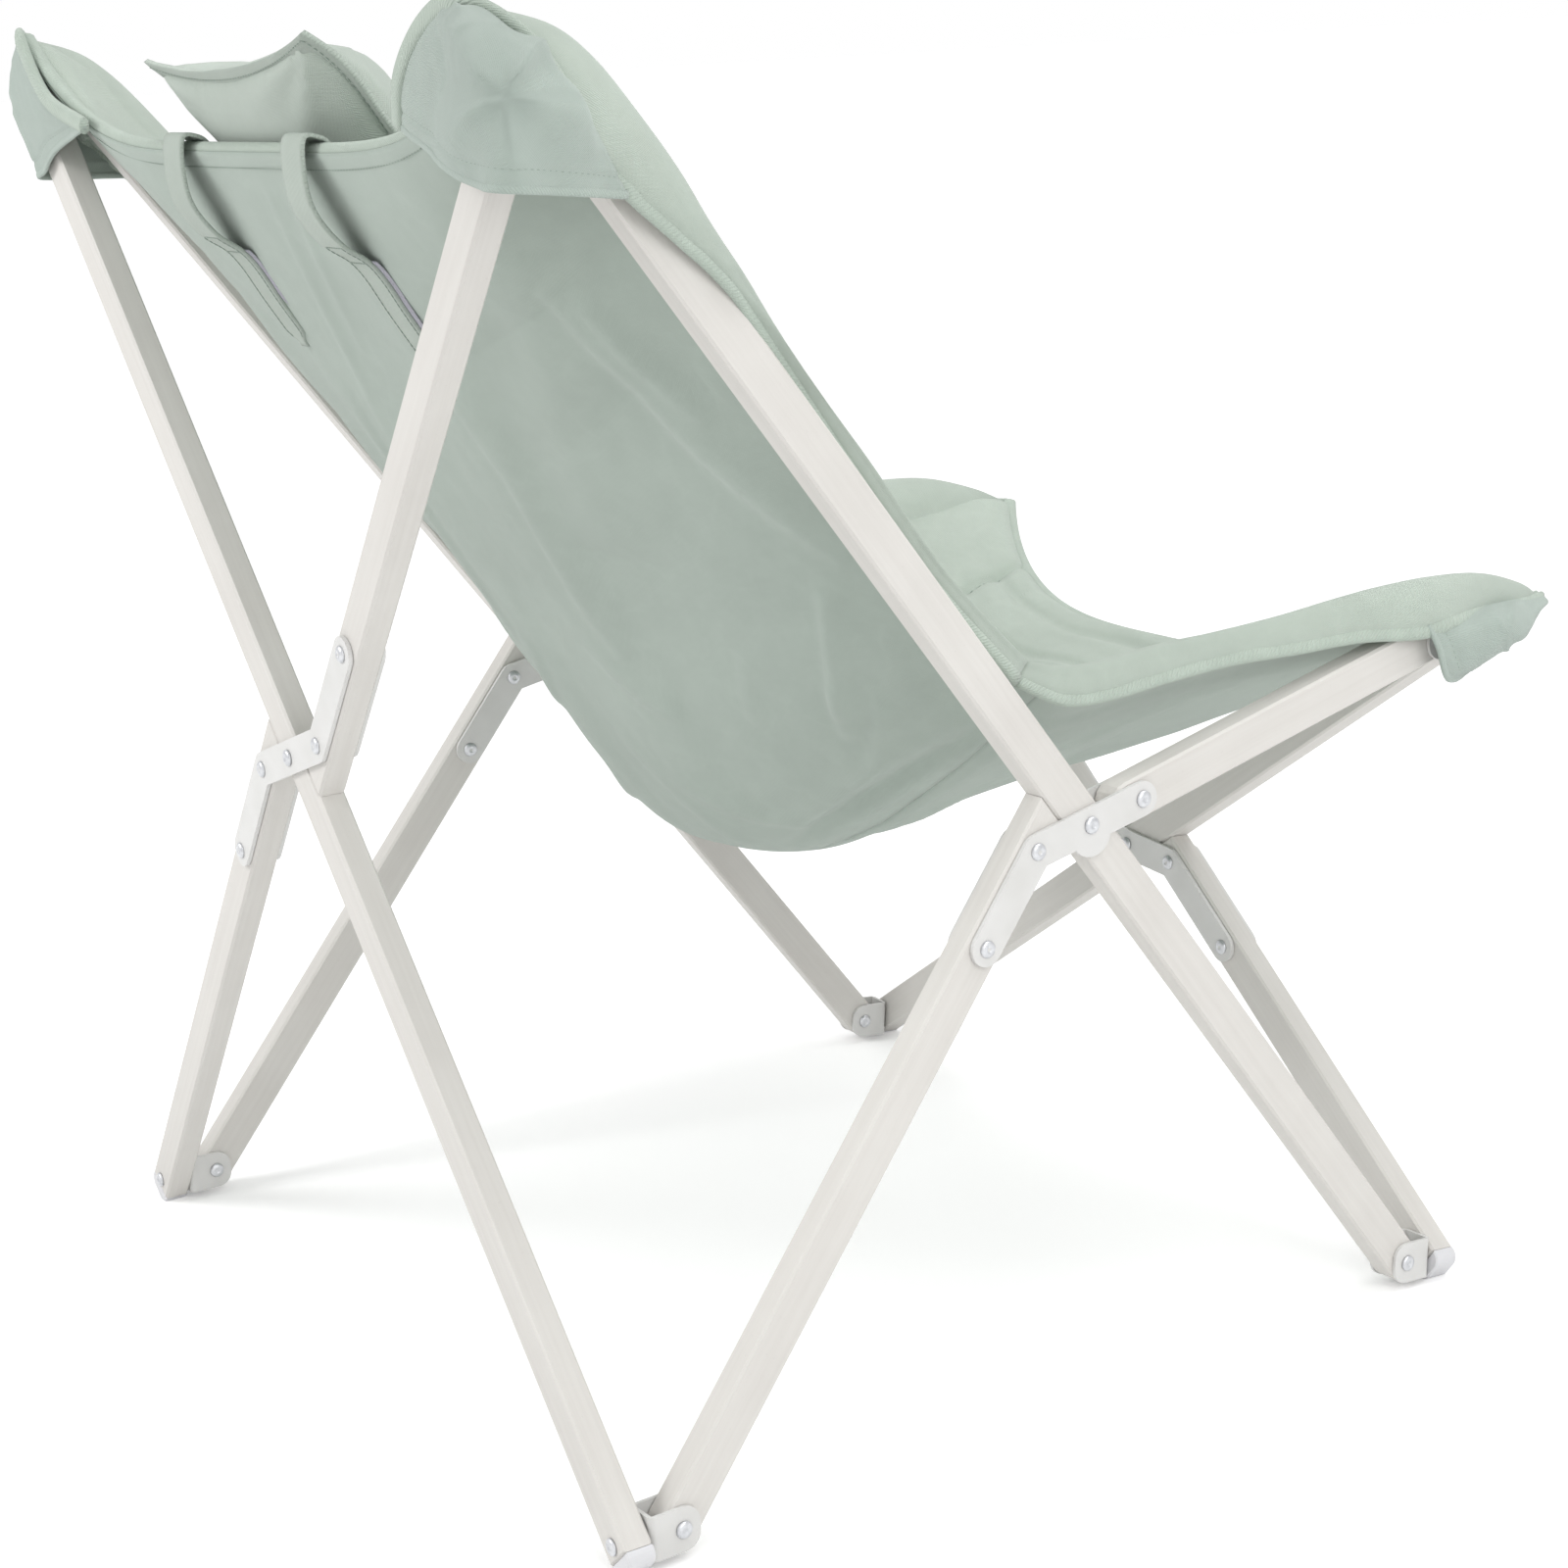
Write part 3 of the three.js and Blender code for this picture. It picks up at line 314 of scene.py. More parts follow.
def cloth_mesh(name, top, bottom, material):
    """A closed piece of cloth between two grids of points, with UVs in metres along the cloth."""
    rows, columns = top.shape[:2]
    count = rows * columns
    faces = [faces_of_grid(rows, columns), faces_of_grid(rows, columns, count, flip=True)]
    rim = np.concatenate([
        np.arange(columns), np.arange(2 * columns - 1, count, columns),
        np.arange(count - 2, count - columns - 1, -1), np.arange(count - 2 * columns, 0, -columns),
    ])
    after = np.roll(rim, -1)
    faces.append(np.stack([rim, rim + count, after + count, after], -1))
    points = np.vstack([top.reshape(-1, 3), bottom.reshape(-1, 3)])
    mesh = bpy.data.meshes.new(name)
    mesh.from_pydata(place(points).tolist(), [], np.vstack(faces).tolist())
    flat = np.stack([run_lengths(top, 1), run_lengths(top, 0)], -1).reshape(-1, 2) / 1000
    lay_uv(mesh, np.vstack([flat, flat]))
    round_faces(mesh)
    return add_object(name, mesh, material)


def round_faces(mesh):
    """Lets light run smoothly over all faces."""
    mesh.polygons.foreach_set("use_smooth", [True] * len(mesh.polygons))


def lay_uv(mesh, flat):
    layer = mesh.uv_layers.new(name="cloth")
    corners = np.empty(len(mesh.loops), int)
    mesh.loops.foreach_get("vertex_index", corners)
    layer.data.foreach_set("uv", flat[corners].astype(np.float32).ravel())


def flat_size(points):
    """The longest runs across and along a grid of points, in metres."""
    return float(run_lengths(points, 1)[:, -1].max()) / 1000, float(run_lengths(points, 0)[-1].max()) / 1000


def area_of(points):
    """Area of a grid of points, in square metres."""
    across = points[:-1, 1:] - points[:-1, :-1]
    onward = points[1:, :-1] - points[:-1, :-1]
    return float(np.linalg.norm(np.cross(across, onward), axis=2).sum()) / 1e6


def grid_normals(points):
    across = np.gradient(points, axis=1)
    onward = np.gradient(points, axis=0)
    normal = np.cross(across, onward)
    return normal / np.linalg.norm(normal, axis=2, keepdims=True)


def bend(a, b, c, d, share):
    """The smooth curve from b to c, with a before it and d after it."""
    return 0.5 * (2 * b + (c - a) * share + (2 * a - 5 * b + 4 * c - d) * share ** 2
                  + (3 * b - a - 3 * c + d) * share ** 3)


def path_run(path):
    """Length from the start of a path to each of its points."""
    return np.concatenate([[0], np.cumsum(np.linalg.norm(np.diff(path, axis=0), axis=1))])


def path_at(at, run, path):
    """Points of a path, or its normals, at the given places of its run."""
    return np.stack([np.interp(at, run, path[:, k]) for k in range(path.shape[1])], -1)


def smooth_path(points, count):
    """Points evenly spaced along a smooth curve through the given ones."""
    points = np.asarray(points, float)
    ends = np.vstack([2 * points[0] - points[1], points, 2 * points[-1] - points[-2]])
    share = np.linspace(0, 1, 40, endpoint=False)[:, None]
    pieces = [bend(*four, share) for four in zip(ends, ends[1:], ends[2:], ends[3:])]
    dense = np.vstack(pieces + [points[-1:]])
    run = path_run(dense)
    return path_at(np.linspace(0, run[-1], count), run, dense)


def along_path(path, share):
    return path_at(np.clip(share, 0, 1) * (len(path) - 1), np.arange(len(path)), path)


def waves(across, onward, seed):
    """Smooth noise on a grid, one value for each point."""
    flat = [noise.noise(Vector((a, o, seed))) for a, o in zip(across.ravel(), onward.ravel())]
    return np.array(flat).reshape(across.shape)


# Sling surface: rows run from the top edge (0) over the crease (1) to the front edge (2)

PATH_POINTS = 600
EDGE = smooth_path([
    (368, -60, 911), (374, -12, 880), (374, 26, 846), (372, 80, 766), (364, 130, 696), (352, 185, 625),
    (343, 240, 555), (340, 292, 498), (343, 330, 474), (343, 368, 471), (342, 416, 475), (342, 466, 478),
    (344, 523, 480), (348, 571, 483), (351, 630, 487), (347, 692, 484), (333, 745, 476), (320, 775, 471),
], PATH_POINTS)
MIDDLE = smooth_path([
    (0, -42, 831), (0, -7, 765), (0, 30, 700), (0, 64, 634), (0, 100, 571), (0, 138, 508), (0, 174, 446),
    (0, 211, 383), (0, 260, 329), (0, 326, 310), (0, 400, 322), (0, 470, 337), (0, 541, 359),
    (0, 610, 385), (0, 684, 405),
], PATH_POINTS)
EDGE_CREASE = 0.553      # share of the edge above the crease
MIDDLE_CREASE = 0.635    # share of the middle line above the crease
SIDE_ROUND = 0.12        # width of the rounded bottom, in columns
HALF_WIDTH = 345.0       # columns and rows as lengths on the flat cloth, in millimetres
HALF_LENGTH = 515.0
SLING_GRID = (150, 201)  # rows and columns of points in each half


def to_share(row, crease):
    return np.where(row < 1, row * crease, crease + (row - 1) * (1 - crease))


def sling_surface(column, row):
    """The middle of the sling at a grid of columns (-1 to 1) and rows (0 to 2)."""
    edge = along_path(EDGE, to_share(row, EDGE_CREASE))
    middle = along_path(MIDDLE, to_share(row, MIDDLE_CREASE))
    turn = np.interp(row, [0, 0.1, 0.25, 0.4, 1.4, 1.8, 2.0], [4.6, 3.3, 1.75, 1.25, 1.25, 2.2, 2.3])
    lifted = (np.hypot(column, SIDE_ROUND) - SIDE_ROUND) / (math.hypot(1, SIDE_ROUND) - SIDE_ROUND)
    points = middle + (edge - middle) * (lifted ** turn)[..., None]
    points[..., 0] = edge[..., 0] * column
    return points


def sling_grid(first, last):
    """Columns and rows of the points of one half, closer together towards the sides."""
    rows, columns = SLING_GRID
    spread = np.linspace(-1, 1, columns)
    spread = spread + 0.09 * np.sin(math.pi * spread)
    return np.meshgrid(spread, np.linspace(first, last, rows))


def sling_rim(column, row):
    """Fades wrinkles out at the edges, where bindings hold the cloth flat."""
    side = np.clip((1 - np.abs(column)) / 0.04, 0, 1)
    return side * np.clip(row / 0.05, 0, 1) * np.clip((2 - row) / 0.05, 0, 1)


def sling_folds(column, row):
    """Height of the cloth's soft folds, in millimetres."""
    side = np.abs(column)
    hanging = waves(column * 4.5, row * 0.9, 3.1) * 6.0 * np.clip(1.15 - side, 0, 1)
    fine = waves(column * 14, row * 2.6, 8.4) * 0.9
    gathers = waves(column * 26, row * 4, 5.5) * 2.0 * np.exp(-((side - 0.93) / 0.08) ** 2) * (row > 0.85)
    return (hanging + fine + gathers) * sling_rim(column, row)


# Creases of the canvas: a path of columns and rows, then height, sharp side and soft side in millimetres
CREASES = [
    ([(0.68, 0.22), (0.72, 0.41), (0.77, 0.53), (0.88, 0.71)], 5.0, 6, 18),
    ([(0.73, 0.26), (0.75, 0.38), (0.80, 0.48)], 3.0, 5, 10),
    ([(0.70, 0.18), (0.54, 0.34), (0.38, 0.52)], 7.0, 30, 50),
    ([(0.25, 0.26), (0.26, 0.38), (0.23, 0.56), (0.25, 0.64)], 4.0, 6, 20),
    ([(0.14, 0.60), (0.23, 0.69), (0.30, 0.73)], 3.5, 5, 14),
    ([(0.80, 0.71), (0.75, 0.76), (0.65, 0.84)], 4.5, 4, 16),
    ([(0.69, 0.80), (0.63, 0.87)], 3.0, 4, 12),
    ([(0.55, 0.70), (0.46, 0.78)], 2.0, 4, 14),
    ([(0.76, 0.86), (0.64, 0.91), (0.53, 0.92)], 3.5, 5, 12),
    ([(0.14, 0.79), (0.26, 0.87), (0.35, 0.93)], 3.5, 5, 12),
    ([(0.05, 0.72), (0.13, 0.84), (0.15, 0.93)], 2.5, 5, 12),
    ([(0.20, 0.955), (0.45, 0.945), (0.70, 0.962), (0.87, 0.985)], -5.5, 5, 6),
    ([(0.30, 0.925), (0.55, 0.918), (0.76, 0.94)], 4.0, 5, 10),
    ([(0.22, 0.975), (0.48, 0.972), (0.72, 0.984)], 3.5, 4, 6),
    ([(0.25, 1.015), (0.52, 1.02), (0.80, 1.03)], 4.0, 5, 9),
    ([(0.10, 0.03), (-0.02, 0.24)], 1.8, 4, 6),
    ([(0.02, 0.03), (-0.07, 0.20), (-0.13, 0.36)], 2.0, 4, 7),
    ([(0.30, 1.05), (0.52, 1.10), (0.78, 1.27)], 3.5, 6, 12),
    ([(0.62, 1.10), (0.74, 1.22), (0.84, 1.46)], 3.0, 5, 12),
    ([(0.20, 1.12), (0.34, 1.40), (0.58, 1.74)], 3.0, 8, 20),
    ([(0.05, 1.20), (0.08, 1.50), (0.04, 1.85)], 2.5, 8, 20),
]


def one_crease(spot, path, height, sharp, soft):
    """Height of one crease at a grid of flat points, with a sharp side and a soft side."""
    line = smooth_path(np.asarray(path) * (HALF_WIDTH, HALF_LENGTH), 20)
    nearest = np.full(spot.shape[:2], np.inf)
    along = np.zeros_like(nearest)
    side = np.zeros_like(nearest)
    for k, (a, b) in enumerate(zip(line, line[1:])):
        run = b - a
        share = np.clip(((spot - a) @ run) / (run @ run), 0, 1)
        off = spot - (a + share[..., None] * run)
        distance = np.linalg.norm(off, axis=2)
        closer = distance < nearest
        nearest = np.where(closer, distance, nearest)
        along = np.where(closer, (k + share) / (len(line) - 1), along)
        side = np.where(closer, run[0] * off[..., 1] - run[1] * off[..., 0], side)
    width = np.where(side > 0, sharp, soft)
    return height * np.sqrt(np.clip(4 * along * (1 - along), 0, 1)) * np.exp(-(nearest / width) ** 2)


def sling_creases(column, row):
    """Height of the creases pressed into the canvas. The unseen side has the same ones, moved a little."""
    spot = np.stack([column * HALF_WIDTH, row * HALF_LENGTH], -1)
    total = np.zeros_like(column)
    for path, height, sharp, soft in CREASES:
        total = total + one_crease(spot, path, height, sharp, soft)
        if min(c for c, _ in path) > 0.1:
            total = total + one_crease(spot, [(0.05 - c, r + 0.02) for c, r in path], height, soft, sharp)
    return total * sling_rim(column, row)


def edge_distance(points):
    """Distance of each point of a grid from its two sides, along the cloth."""
    run = run_lengths(points, 1)
    return np.minimum(run, run[:, -1:] - run)


PAD_THICK = 15.5         # full height of the pad, in millimetres
SIDE_RIM = 24.0          # width of the soft rims at the sides and ends
END_RIM = 20.0
QUILT_STEP = 62.0        # from one quilting line to the next


def seam_column(row):
    """Column of the seam between the wings and the middle panel of the pad."""
    return np.interp(row, [0, 0.6, 1.2, 1.5, 1.82, 2], [0.72, 0.6, 0.5, 0.54, 0.61, 0.68])


def quarter_round(share):
    return np.sqrt(np.clip(1 - (1 - np.clip(share, 0, 1)) ** 2, 0, 1))


def pad_height(column, row, points):
    """Thickness of the padded layer: a soft rim, a seam along each wing, quilting between them."""
    rim = quarter_round(edge_distance(points) / SIDE_RIM)
    rim = rim * quarter_round(np.minimum(row, 2 - row) * HALF_LENGTH / END_RIM)
    off = (np.abs(column) - seam_column(row)) * HALF_WIDTH
    sewn = 1 - 0.6 * np.exp(-np.abs(off) / 5)
    between = 1 / (1 + np.exp(off / 8))
    channel = (row * HALF_LENGTH + waves(column * 3, row * 2, 5.1) * 14) / QUILT_STEP
    sewn = sewn - 0.22 * between * np.exp(-((channel - np.round(channel)) * QUILT_STEP / 8) ** 2)
    pulled = np.exp(-np.abs(off) / 40) * waves(np.sign(column) + off / 70, row * 26, 2.7)
    quilted = between * waves(column * 5, row * 15, 7.7)
    puckers = pulled * 4.0 + quilted * 2.6 + waves(column * 7, row * 5, 1.7) * 1.6
    pillow_bed = 1 - 0.7 * np.exp(-(column / 0.44) ** 6) * np.exp(-(row / 0.4) ** 6)
    return np.maximum(0.2, (PAD_THICK * sewn + puckers) * rim * pillow_bed)


def hang(piece, body):
    """A soft piece of the sling rides on its half, with a mesh of its own."""
    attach(piece, body)
    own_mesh(piece)


CANVAS_OFF = 3.0         # the canvas lies this far outside the sling's middle surface
CANVAS_THICK = 1.4
PLY_GAP = 0.3            # between the canvas and the pad
PAD_TOPS = {}
for half, first, last in (("back", 0, 1), ("seat", 1, 2)):
    column, row = sling_grid(first, last)
    middle = sling_surface(column, row)
    normal = grid_normals(middle)
    folds = sling_folds(column, row)[..., None]
    creases = sling_creases(column, row)[..., None]
    outer = middle + normal * (folds - creases - CANVAS_OFF - CANVAS_THICK)
    inner = outer + normal * CANVAS_THICK
    canvas = cloth_mesh(f"canvas_{half}", inner, outer, CANVAS)
    hang(canvas, f"sling_{half}")
    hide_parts(f"sling_{half}")
    flat_size(outer)
    area_of(outer)
    height = pad_height(column, row, middle)[..., None]
    low = inner + normal * PLY_GAP
    top = middle + normal * (folds * 0.7 - CANVAS_OFF + PLY_GAP + height)
    PAD_TOPS[half] = (column, row, top)
    pad = cloth_mesh(f"pad_{half}", top, low, TWILL)
    hang(pad, f"sling_{half}")


# Tubes: bindings and padded rolls are lofted from rings of points

def loft(name, rings, material):
    """A closed tube through rings of points, with UVs in metres along and around it."""
    rows, columns = rings.shape[:2]
    faces = faces_of_grid(rows, columns, wrap=True).tolist()
    faces.append(list(range(columns)))
    faces.append(list(range(rows * columns - 1, (rows - 1) * columns - 1, -1)))
    mesh = bpy.data.meshes.new(name)
    mesh.from_pydata(place(rings.reshape(-1, 3)).tolist(), [], faces)
    run = path_run(rings.mean(1)) / 1000
    girth = np.linalg.norm(rings - np.roll(rings, 1, 1), axis=2).sum(1).max() / 1000
    around = np.abs(np.arange(columns) / columns * 2 - 1) * girth / 2
    lay_uv(mesh, np.stack(np.meshgrid(around, run), -1).reshape(-1, 2))
    round_faces(mesh)
    made = add_object(name, mesh, material)
    fix_normals(made)
    return made


def fix_normals(piece):
    repair = bmesh.new()
    repair.from_mesh(piece.data)
    bmesh.ops.recalc_face_normals(repair, faces=repair.faces)
    repair.to_mesh(piece.data)
    repair.free()


def mirrored(points, side):
    """Points of the right side (1) as they are, or those of the left side (-1)."""
    return np.asarray(points, float) * (side, 1, 1)


def unit_rows(vectors):
    return vectors / np.linalg.norm(vectors, axis=-1, keepdims=True)


def tape_along(name, path, normals, width, thick, material, body=None):
    """A strip of folded tape with a soft oval section along a path."""
    path = np.asarray(path, float)
    ahead = unit_rows(np.gradient(path, axis=0))
    up = unit_rows(normals - ahead * (normals * ahead).sum(1, keepdims=True))
    side = np.cross(ahead, up)
    angles = np.linspace(0, 2 * math.pi, 12, endpoint=False)
    section = [(math.copysign(abs(math.cos(a)) ** 0.6, math.cos(a)), math.sin(a)) for a in angles]
    rings = np.stack([path + side * (x * width / 2) + up * (y * thick / 2) for x, y in section], 1)
    made = loft(name, rings, material)
    if body:
        hang(made, body)
    return made


def ring_through(points, count):
    """A smooth closed ring through a few points."""
    points = np.asarray(points, float)
    total = len(points)
    share = np.linspace(0, 1, count // total, endpoint=False)[:, None]
    return np.vstack([bend(*(points[(k + j) % total] for j in (-1, 0, 1, 2)), share) for k in range(total)])


def sling_line(columns, rows):
    """A line over the sling with the sling's normals along it."""
    step = 0.004
    left, right = (sling_surface(np.clip(columns + way, -1, 1), rows) for way in (-step, step))
    behind, before = (sling_surface(columns, np.clip(rows + way, 0, 2)) for way in (-step, step))
    return sling_surface(columns, rows), unit_rows(np.cross(right - left, before - behind))


def straight(value, count):
    return np.full(count, float(value))


# Wings: padded rolls along both sides, from the bound edge outside the bar over a crest to the pad inside

WINGS = {
    "back": [
        ((372, -54, 905), (370, -50, 907)), ((386, -34, 887), (373, -16, 896)),
        ((395, -20, 860), (374, 8, 878)), ((396, -9, 832), (374, 33, 849)),
        ((388, 19, 806), (373, 58, 816)), ((382, 48, 783), (372, 77, 785)),
        ((376, 82, 754), (370, 101, 750)), ((369, 108, 724), (366, 132, 702)),
        ((357, 170, 640), (354, 188, 636)), ((347, 228, 566), (343, 246, 562)),
        ((342, 298, 488), (336, 310, 497)),
    ],
    "seat": [
        ((342, 298, 488), (336, 310, 497)), ((344, 331, 471), (335, 338, 490)),
        ((345, 367, 469), (334, 366, 489)), ((344, 416, 473), (332, 417, 492)),
        ((344, 466, 476), (332, 466, 493)), ((347, 523, 476), (333, 518, 496)),
        ((352, 571, 477), (334, 567, 501)), ((361, 622, 474), (335, 606, 504)),
        ((361, 652, 478), (336, 648, 505)), ((350, 692, 478), (334, 696, 501)),
        ((336, 738, 474), (328, 740, 488)), ((322, 772, 471), (321, 768, 474)),
    ],
}
STATIONS = 110           # rings along a wing
RING_POINTS = 42
LINE_POINTS = 400
TAPER_STATIONS = 36      # rings over which a wing swells from its free end
WING_REACH = 0.15        # how far in from the edge a full wing is sewn, in columns
WING_BINDING = (10, 5)   # width and thickness of the tape


def near_row(point):
    """The row of the sling whose edge is nearest to a point."""
    share = float(np.argmin(np.linalg.norm(EDGE - np.asarray(point, float), axis=1))) / (len(EDGE) - 1)
    return share / EDGE_CREASE if share < EDGE_CREASE else 1 + (share - EDGE_CREASE) / (1 - EDGE_CREASE)


def wing_lines(half):
    """The bound edge, the crest, and the row of the sling at each of many stations along a wing."""
    stations = WINGS[half]
    steps = np.linspace(0, 1, len(stations))
    fine = np.linspace(0, 1, STATIONS)
    binding = smooth_path([s[0] for s in stations], LINE_POINTS)
    crest = smooth_path([s[1] for s in stations], LINE_POINTS)
    lines = []
    for line, k in ((binding, 0), (crest, 1)):
        marks = [np.argmin(np.linalg.norm(line - np.asarray(s[k], float), axis=1)) for s in stations]
        lines.append(along_path(line, np.interp(fine, steps, np.array(marks) / (LINE_POINTS - 1))))
    marks = [near_row((np.asarray(s[0], float) + s[1]) / 2) for s in stations]
    marks[-1 if half == "back" else 0] = 1.0
    return lines[0], lines[1], np.interp(fine, steps, marks)


def make_wing(half, side):
    binding, crest, rows = wing_lines(half)
    rows = np.clip(rows, 0 if half == "back" else 1, 1 if half == "back" else 2)
    station = np.arange(STATIONS)
    taper = np.clip((station + 1) / TAPER_STATIONS, 0.03, 1)
    taper = np.sin(taper * math.pi / 2) if half == "back" else np.sin(taper[::-1] * math.pi / 2)
    inner, normal = sling_line(1 - WING_REACH * taper, rows)
    edge, _ = sling_line(straight(0.995, STATIONS), rows)
    lift = np.linalg.norm(crest - binding, axis=1)
    ripple = waves(station / 5.0, np.zeros(STATIONS), 4.0 + len(half)) * 0.9
    rings = []
    for k in station:
        out = unit_rows(binding[k] + crest[k] - 2 * inner[k])
        swell = (binding[k] + crest[k]) / 2 + out * (lift[k] * 0.2 + ripple[k])
        high = inner[k] + normal[k] * 8 * taper[k]
        shoulder = (crest[k] + high) / 2 + normal[k] * 7 * taper[k]
        low = inner[k] - normal[k] * 1.0
        heel = edge[k] * 0.5 + (binding[k] + low) * 0.25 + normal[k] * 1.0
        rings.append(ring_through([binding[k], swell, crest[k], shoulder, high, low, heel], RING_POINTS))
    word = "right" if side > 0 else "left"
    roll = loft(f"{word}_{half}_wing", mirrored(rings, side), TWILL)
    hang(roll, f"sling_{half}")
    gathered = np.exp(-(station / 32) ** 2) if half == "back" else 0
    pleat = waves(station / 4.5, np.zeros(STATIONS), 11.0) * (0.4 + 3.2 * gathered)
    out = unit_rows(binding - inner)
    line = mirrored(binding + out * pleat[:, None], side)
    tape_along(f"{word}_{half}_binding", line, mirrored(out, side), *WING_BINDING, TAPE, f"sling_{half}")


END_BINDING = (12, 9.5)
SPREAD_TURN = math.pi / 2 * 0.96
SPREAD = np.sin(np.linspace(-1, 1, 161) * SPREAD_TURN) / math.sin(SPREAD_TURN)
for name, row, body in (("top_binding", 0.004, "sling_back"), ("front_binding", 1.996, "sling_seat")):
    line, normal = sling_line(SPREAD * 0.995, straight(row, len(SPREAD)))
    tape_along(name, line + normal * 1.5, normal, *END_BINDING, TAPE, body)
for side in (1, -1):
    make_wing("back", side)
    make_wing("seat", side)


# Corner pockets: panels that run from the corner of the sling over the bar ends to a hem

HEM = 11.0               # from a pocket's lower edge up to its stitches
POCKET_GRID = (70, 60)   # columns and rows of points
POCKET_HALF = 0.8        # half the thickness of the cloth
HEM_TAPE = (5, 3.0)
FLAP_BINDING = (12, 7)
CUT_WIDTH = 1.02         # the flat piece, with its seams and hem, against the sewn one
CUT_LENGTH = 1.25
LEAST_FILL = 0.301       # least share of its flat rectangle that a pocket's area is given as
POCKET_HEMS = {}


def hem_line(points):
    """The stitched line of a pocket, one hem above its lower edge."""
    run = run_lengths(points, 0)
    spots = [max(length - HEM, 0) for length in run[-1]]
    return np.array([path_at(spot, run[:, j], points[:, j]) for j, spot in enumerate(spots)])


def pocket(name, ribs, side, body, end, slack, bound=None):
    """A pocket panel through its ribs, drawn out to a tent where the bar end presses on it."""
    columns, rows = POCKET_GRID
    lines = [smooth_path(rib, rows) for rib in ribs]
    points = np.stack([smooth_path([line[i] for line in lines], columns) for i in range(rows)])
    normal = grid_normals(points)
    across, down = np.meshgrid(np.linspace(0, 1, columns), np.linspace(0, 1, rows))
    rise = waves(across * 6, down * 4, 4.4) * 1.5 * slack + waves(across * 15, down * 10, 9.1) * 0.4
    offset = points - np.asarray(end, float)
    distance = np.linalg.norm(offset, axis=2)
    angle = np.arctan2(offset[..., 2], offset[..., 0] + offset[..., 1])
    ridge = np.abs(np.cos(angle * 2.5 + 0.6))
    rise = rise + np.clip(1 - np.hypot(distance, 6) / (48 + 40 * ridge ** 2), 0, 1) * 10 * slack
    rise = rise + ridge ** 6 * np.clip(distance / 12, 0, 1) * np.exp(-(distance / 42) ** 2) * 4.5 * slack
    rim = np.clip(down / 0.15, 0, 1) * np.clip(across / 0.08, 0, 1) * np.clip((1 - across) / 0.08, 0, 1)
    run = run_lengths(points, 0)
    sewn = np.exp(-((run[-1:] - run - HEM) / 1.6) ** 2)
    points = mirrored(points - normal * (rise * rim - sewn * 0.9)[..., None], side)
    normal = mirrored(normal, side)
    made = cloth_mesh(name, points + normal * POCKET_HALF, points - normal * POCKET_HALF, POCKET_CLOTH)
    fix_normals(made)
    size = flat_size(points)
    max(area_of(points), LEAST_FILL * size[0] * size[1] * CUT_WIDTH * CUT_LENGTH)
    pieces = [made, tape_along(f"{name}_hem", points[-1], normal[-1], *HEM_TAPE, POCKET_CLOTH)]
    if bound is not None:
        edge = mirrored(smooth_path(bound, columns), side)
        facing = np.tile((0.0, -1.0, 0.0), (columns, 1))
        pieces.append(tape_along(f"{name}_binding", edge, facing, *FLAP_BINDING, TAPE))
    for piece in pieces:
        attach(piece, body)
    POCKET_HEMS[name] = (hem_line(points), -normal[-1], body)


TOP_RIBS = {
    1: [
        [(366, -65, 910), (341, -66, 907), (311, -66, 893), (284, -64, 871), (266, -58, 847)],
        [(368, -67, 910), (352, -69, 890), (336, -68, 866), (328, -65, 830)],
        [(372, -68, 909), (378, -70, 866), (373, -68, 818)],
        [(375, -66, 908), (401, -63, 868), (400, -66, 815)],
        [(378, -60, 907), (404, -28, 860), (404, -30, 811)],
        [(380, -48, 901), (398, -13, 852), (392, 14, 806)],
    ],
    -1: [
        [(362, -63, 908), (326, -60, 866), (262, -56, 846)],
        [(364, -63, 908), (344, -61, 862), (322, -58, 830)],
        [(368, -63, 908), (378, -61, 862), (350, -59, 815)],
        [(372, -61, 907), (397, -59, 866), (366, -58, 810)],
        [(376, -56, 905), (400, -30, 858), (380, -28, 808)],
        [(380, -48, 901), (397, -11, 850), (390, 14, 806)],
    ],
}
FRONT_RIBS = [
    [(322, 772, 473), (350, 694, 481), (361, 626, 478)],
    [(329, 770, 470), (366, 698, 470), (367, 629, 464)],
    [(326, 770, 467), (361, 708, 459), (364, 640, 441)],
    [(316, 770, 466), (334, 732, 458), (334, 684, 437)],
    [(308, 768, 468), (286, 748, 457), (262, 730, 444)],
]
WING_TOP = [(377, -51, 903), (387, -35, 887), (394, -21, 862), (395, -10, 834)]
TOP_BAR_END = (401, -60, 860)
FRONT_BAR_END = (366, 690, 464)
TOP_SLACK = {1: 1.0, -1: 0.25}
FRONT_SLACK = 0.4
for side, word in ((1, "right"), (-1, "left")):
    flap_edge = TOP_RIBS[side][0][::-1] + WING_TOP
    pocket(f"top_{word}_pocket", TOP_RIBS[side], side, f"top_{word}", TOP_BAR_END, TOP_SLACK[side], flap_edge)
    pocket(f"front_{word}_pocket", FRONT_RIBS, side, f"front_top_{word}", FRONT_BAR_END, FRONT_SLACK)


# Pillow: crowned front and back, drawn-in sides and a sewn flange

PILLOW_HALF = (138.0, 106.0)   # half width and half height
PILLOW_STEPS = 91              # points across and up
PILLOW_FRONT = 44.0            # crown of the front and of the back
PILLOW_BACK = 27.0
PILLOW_TURN = np.array(Matrix.Rotation(0.56, 3, "X") @ Matrix.Rotation(-0.05, 3, "Y"))
PILLOW_MIDDLE = np.array([0.0, 17.0, 808.0])
PILLOW_SEAMS = []
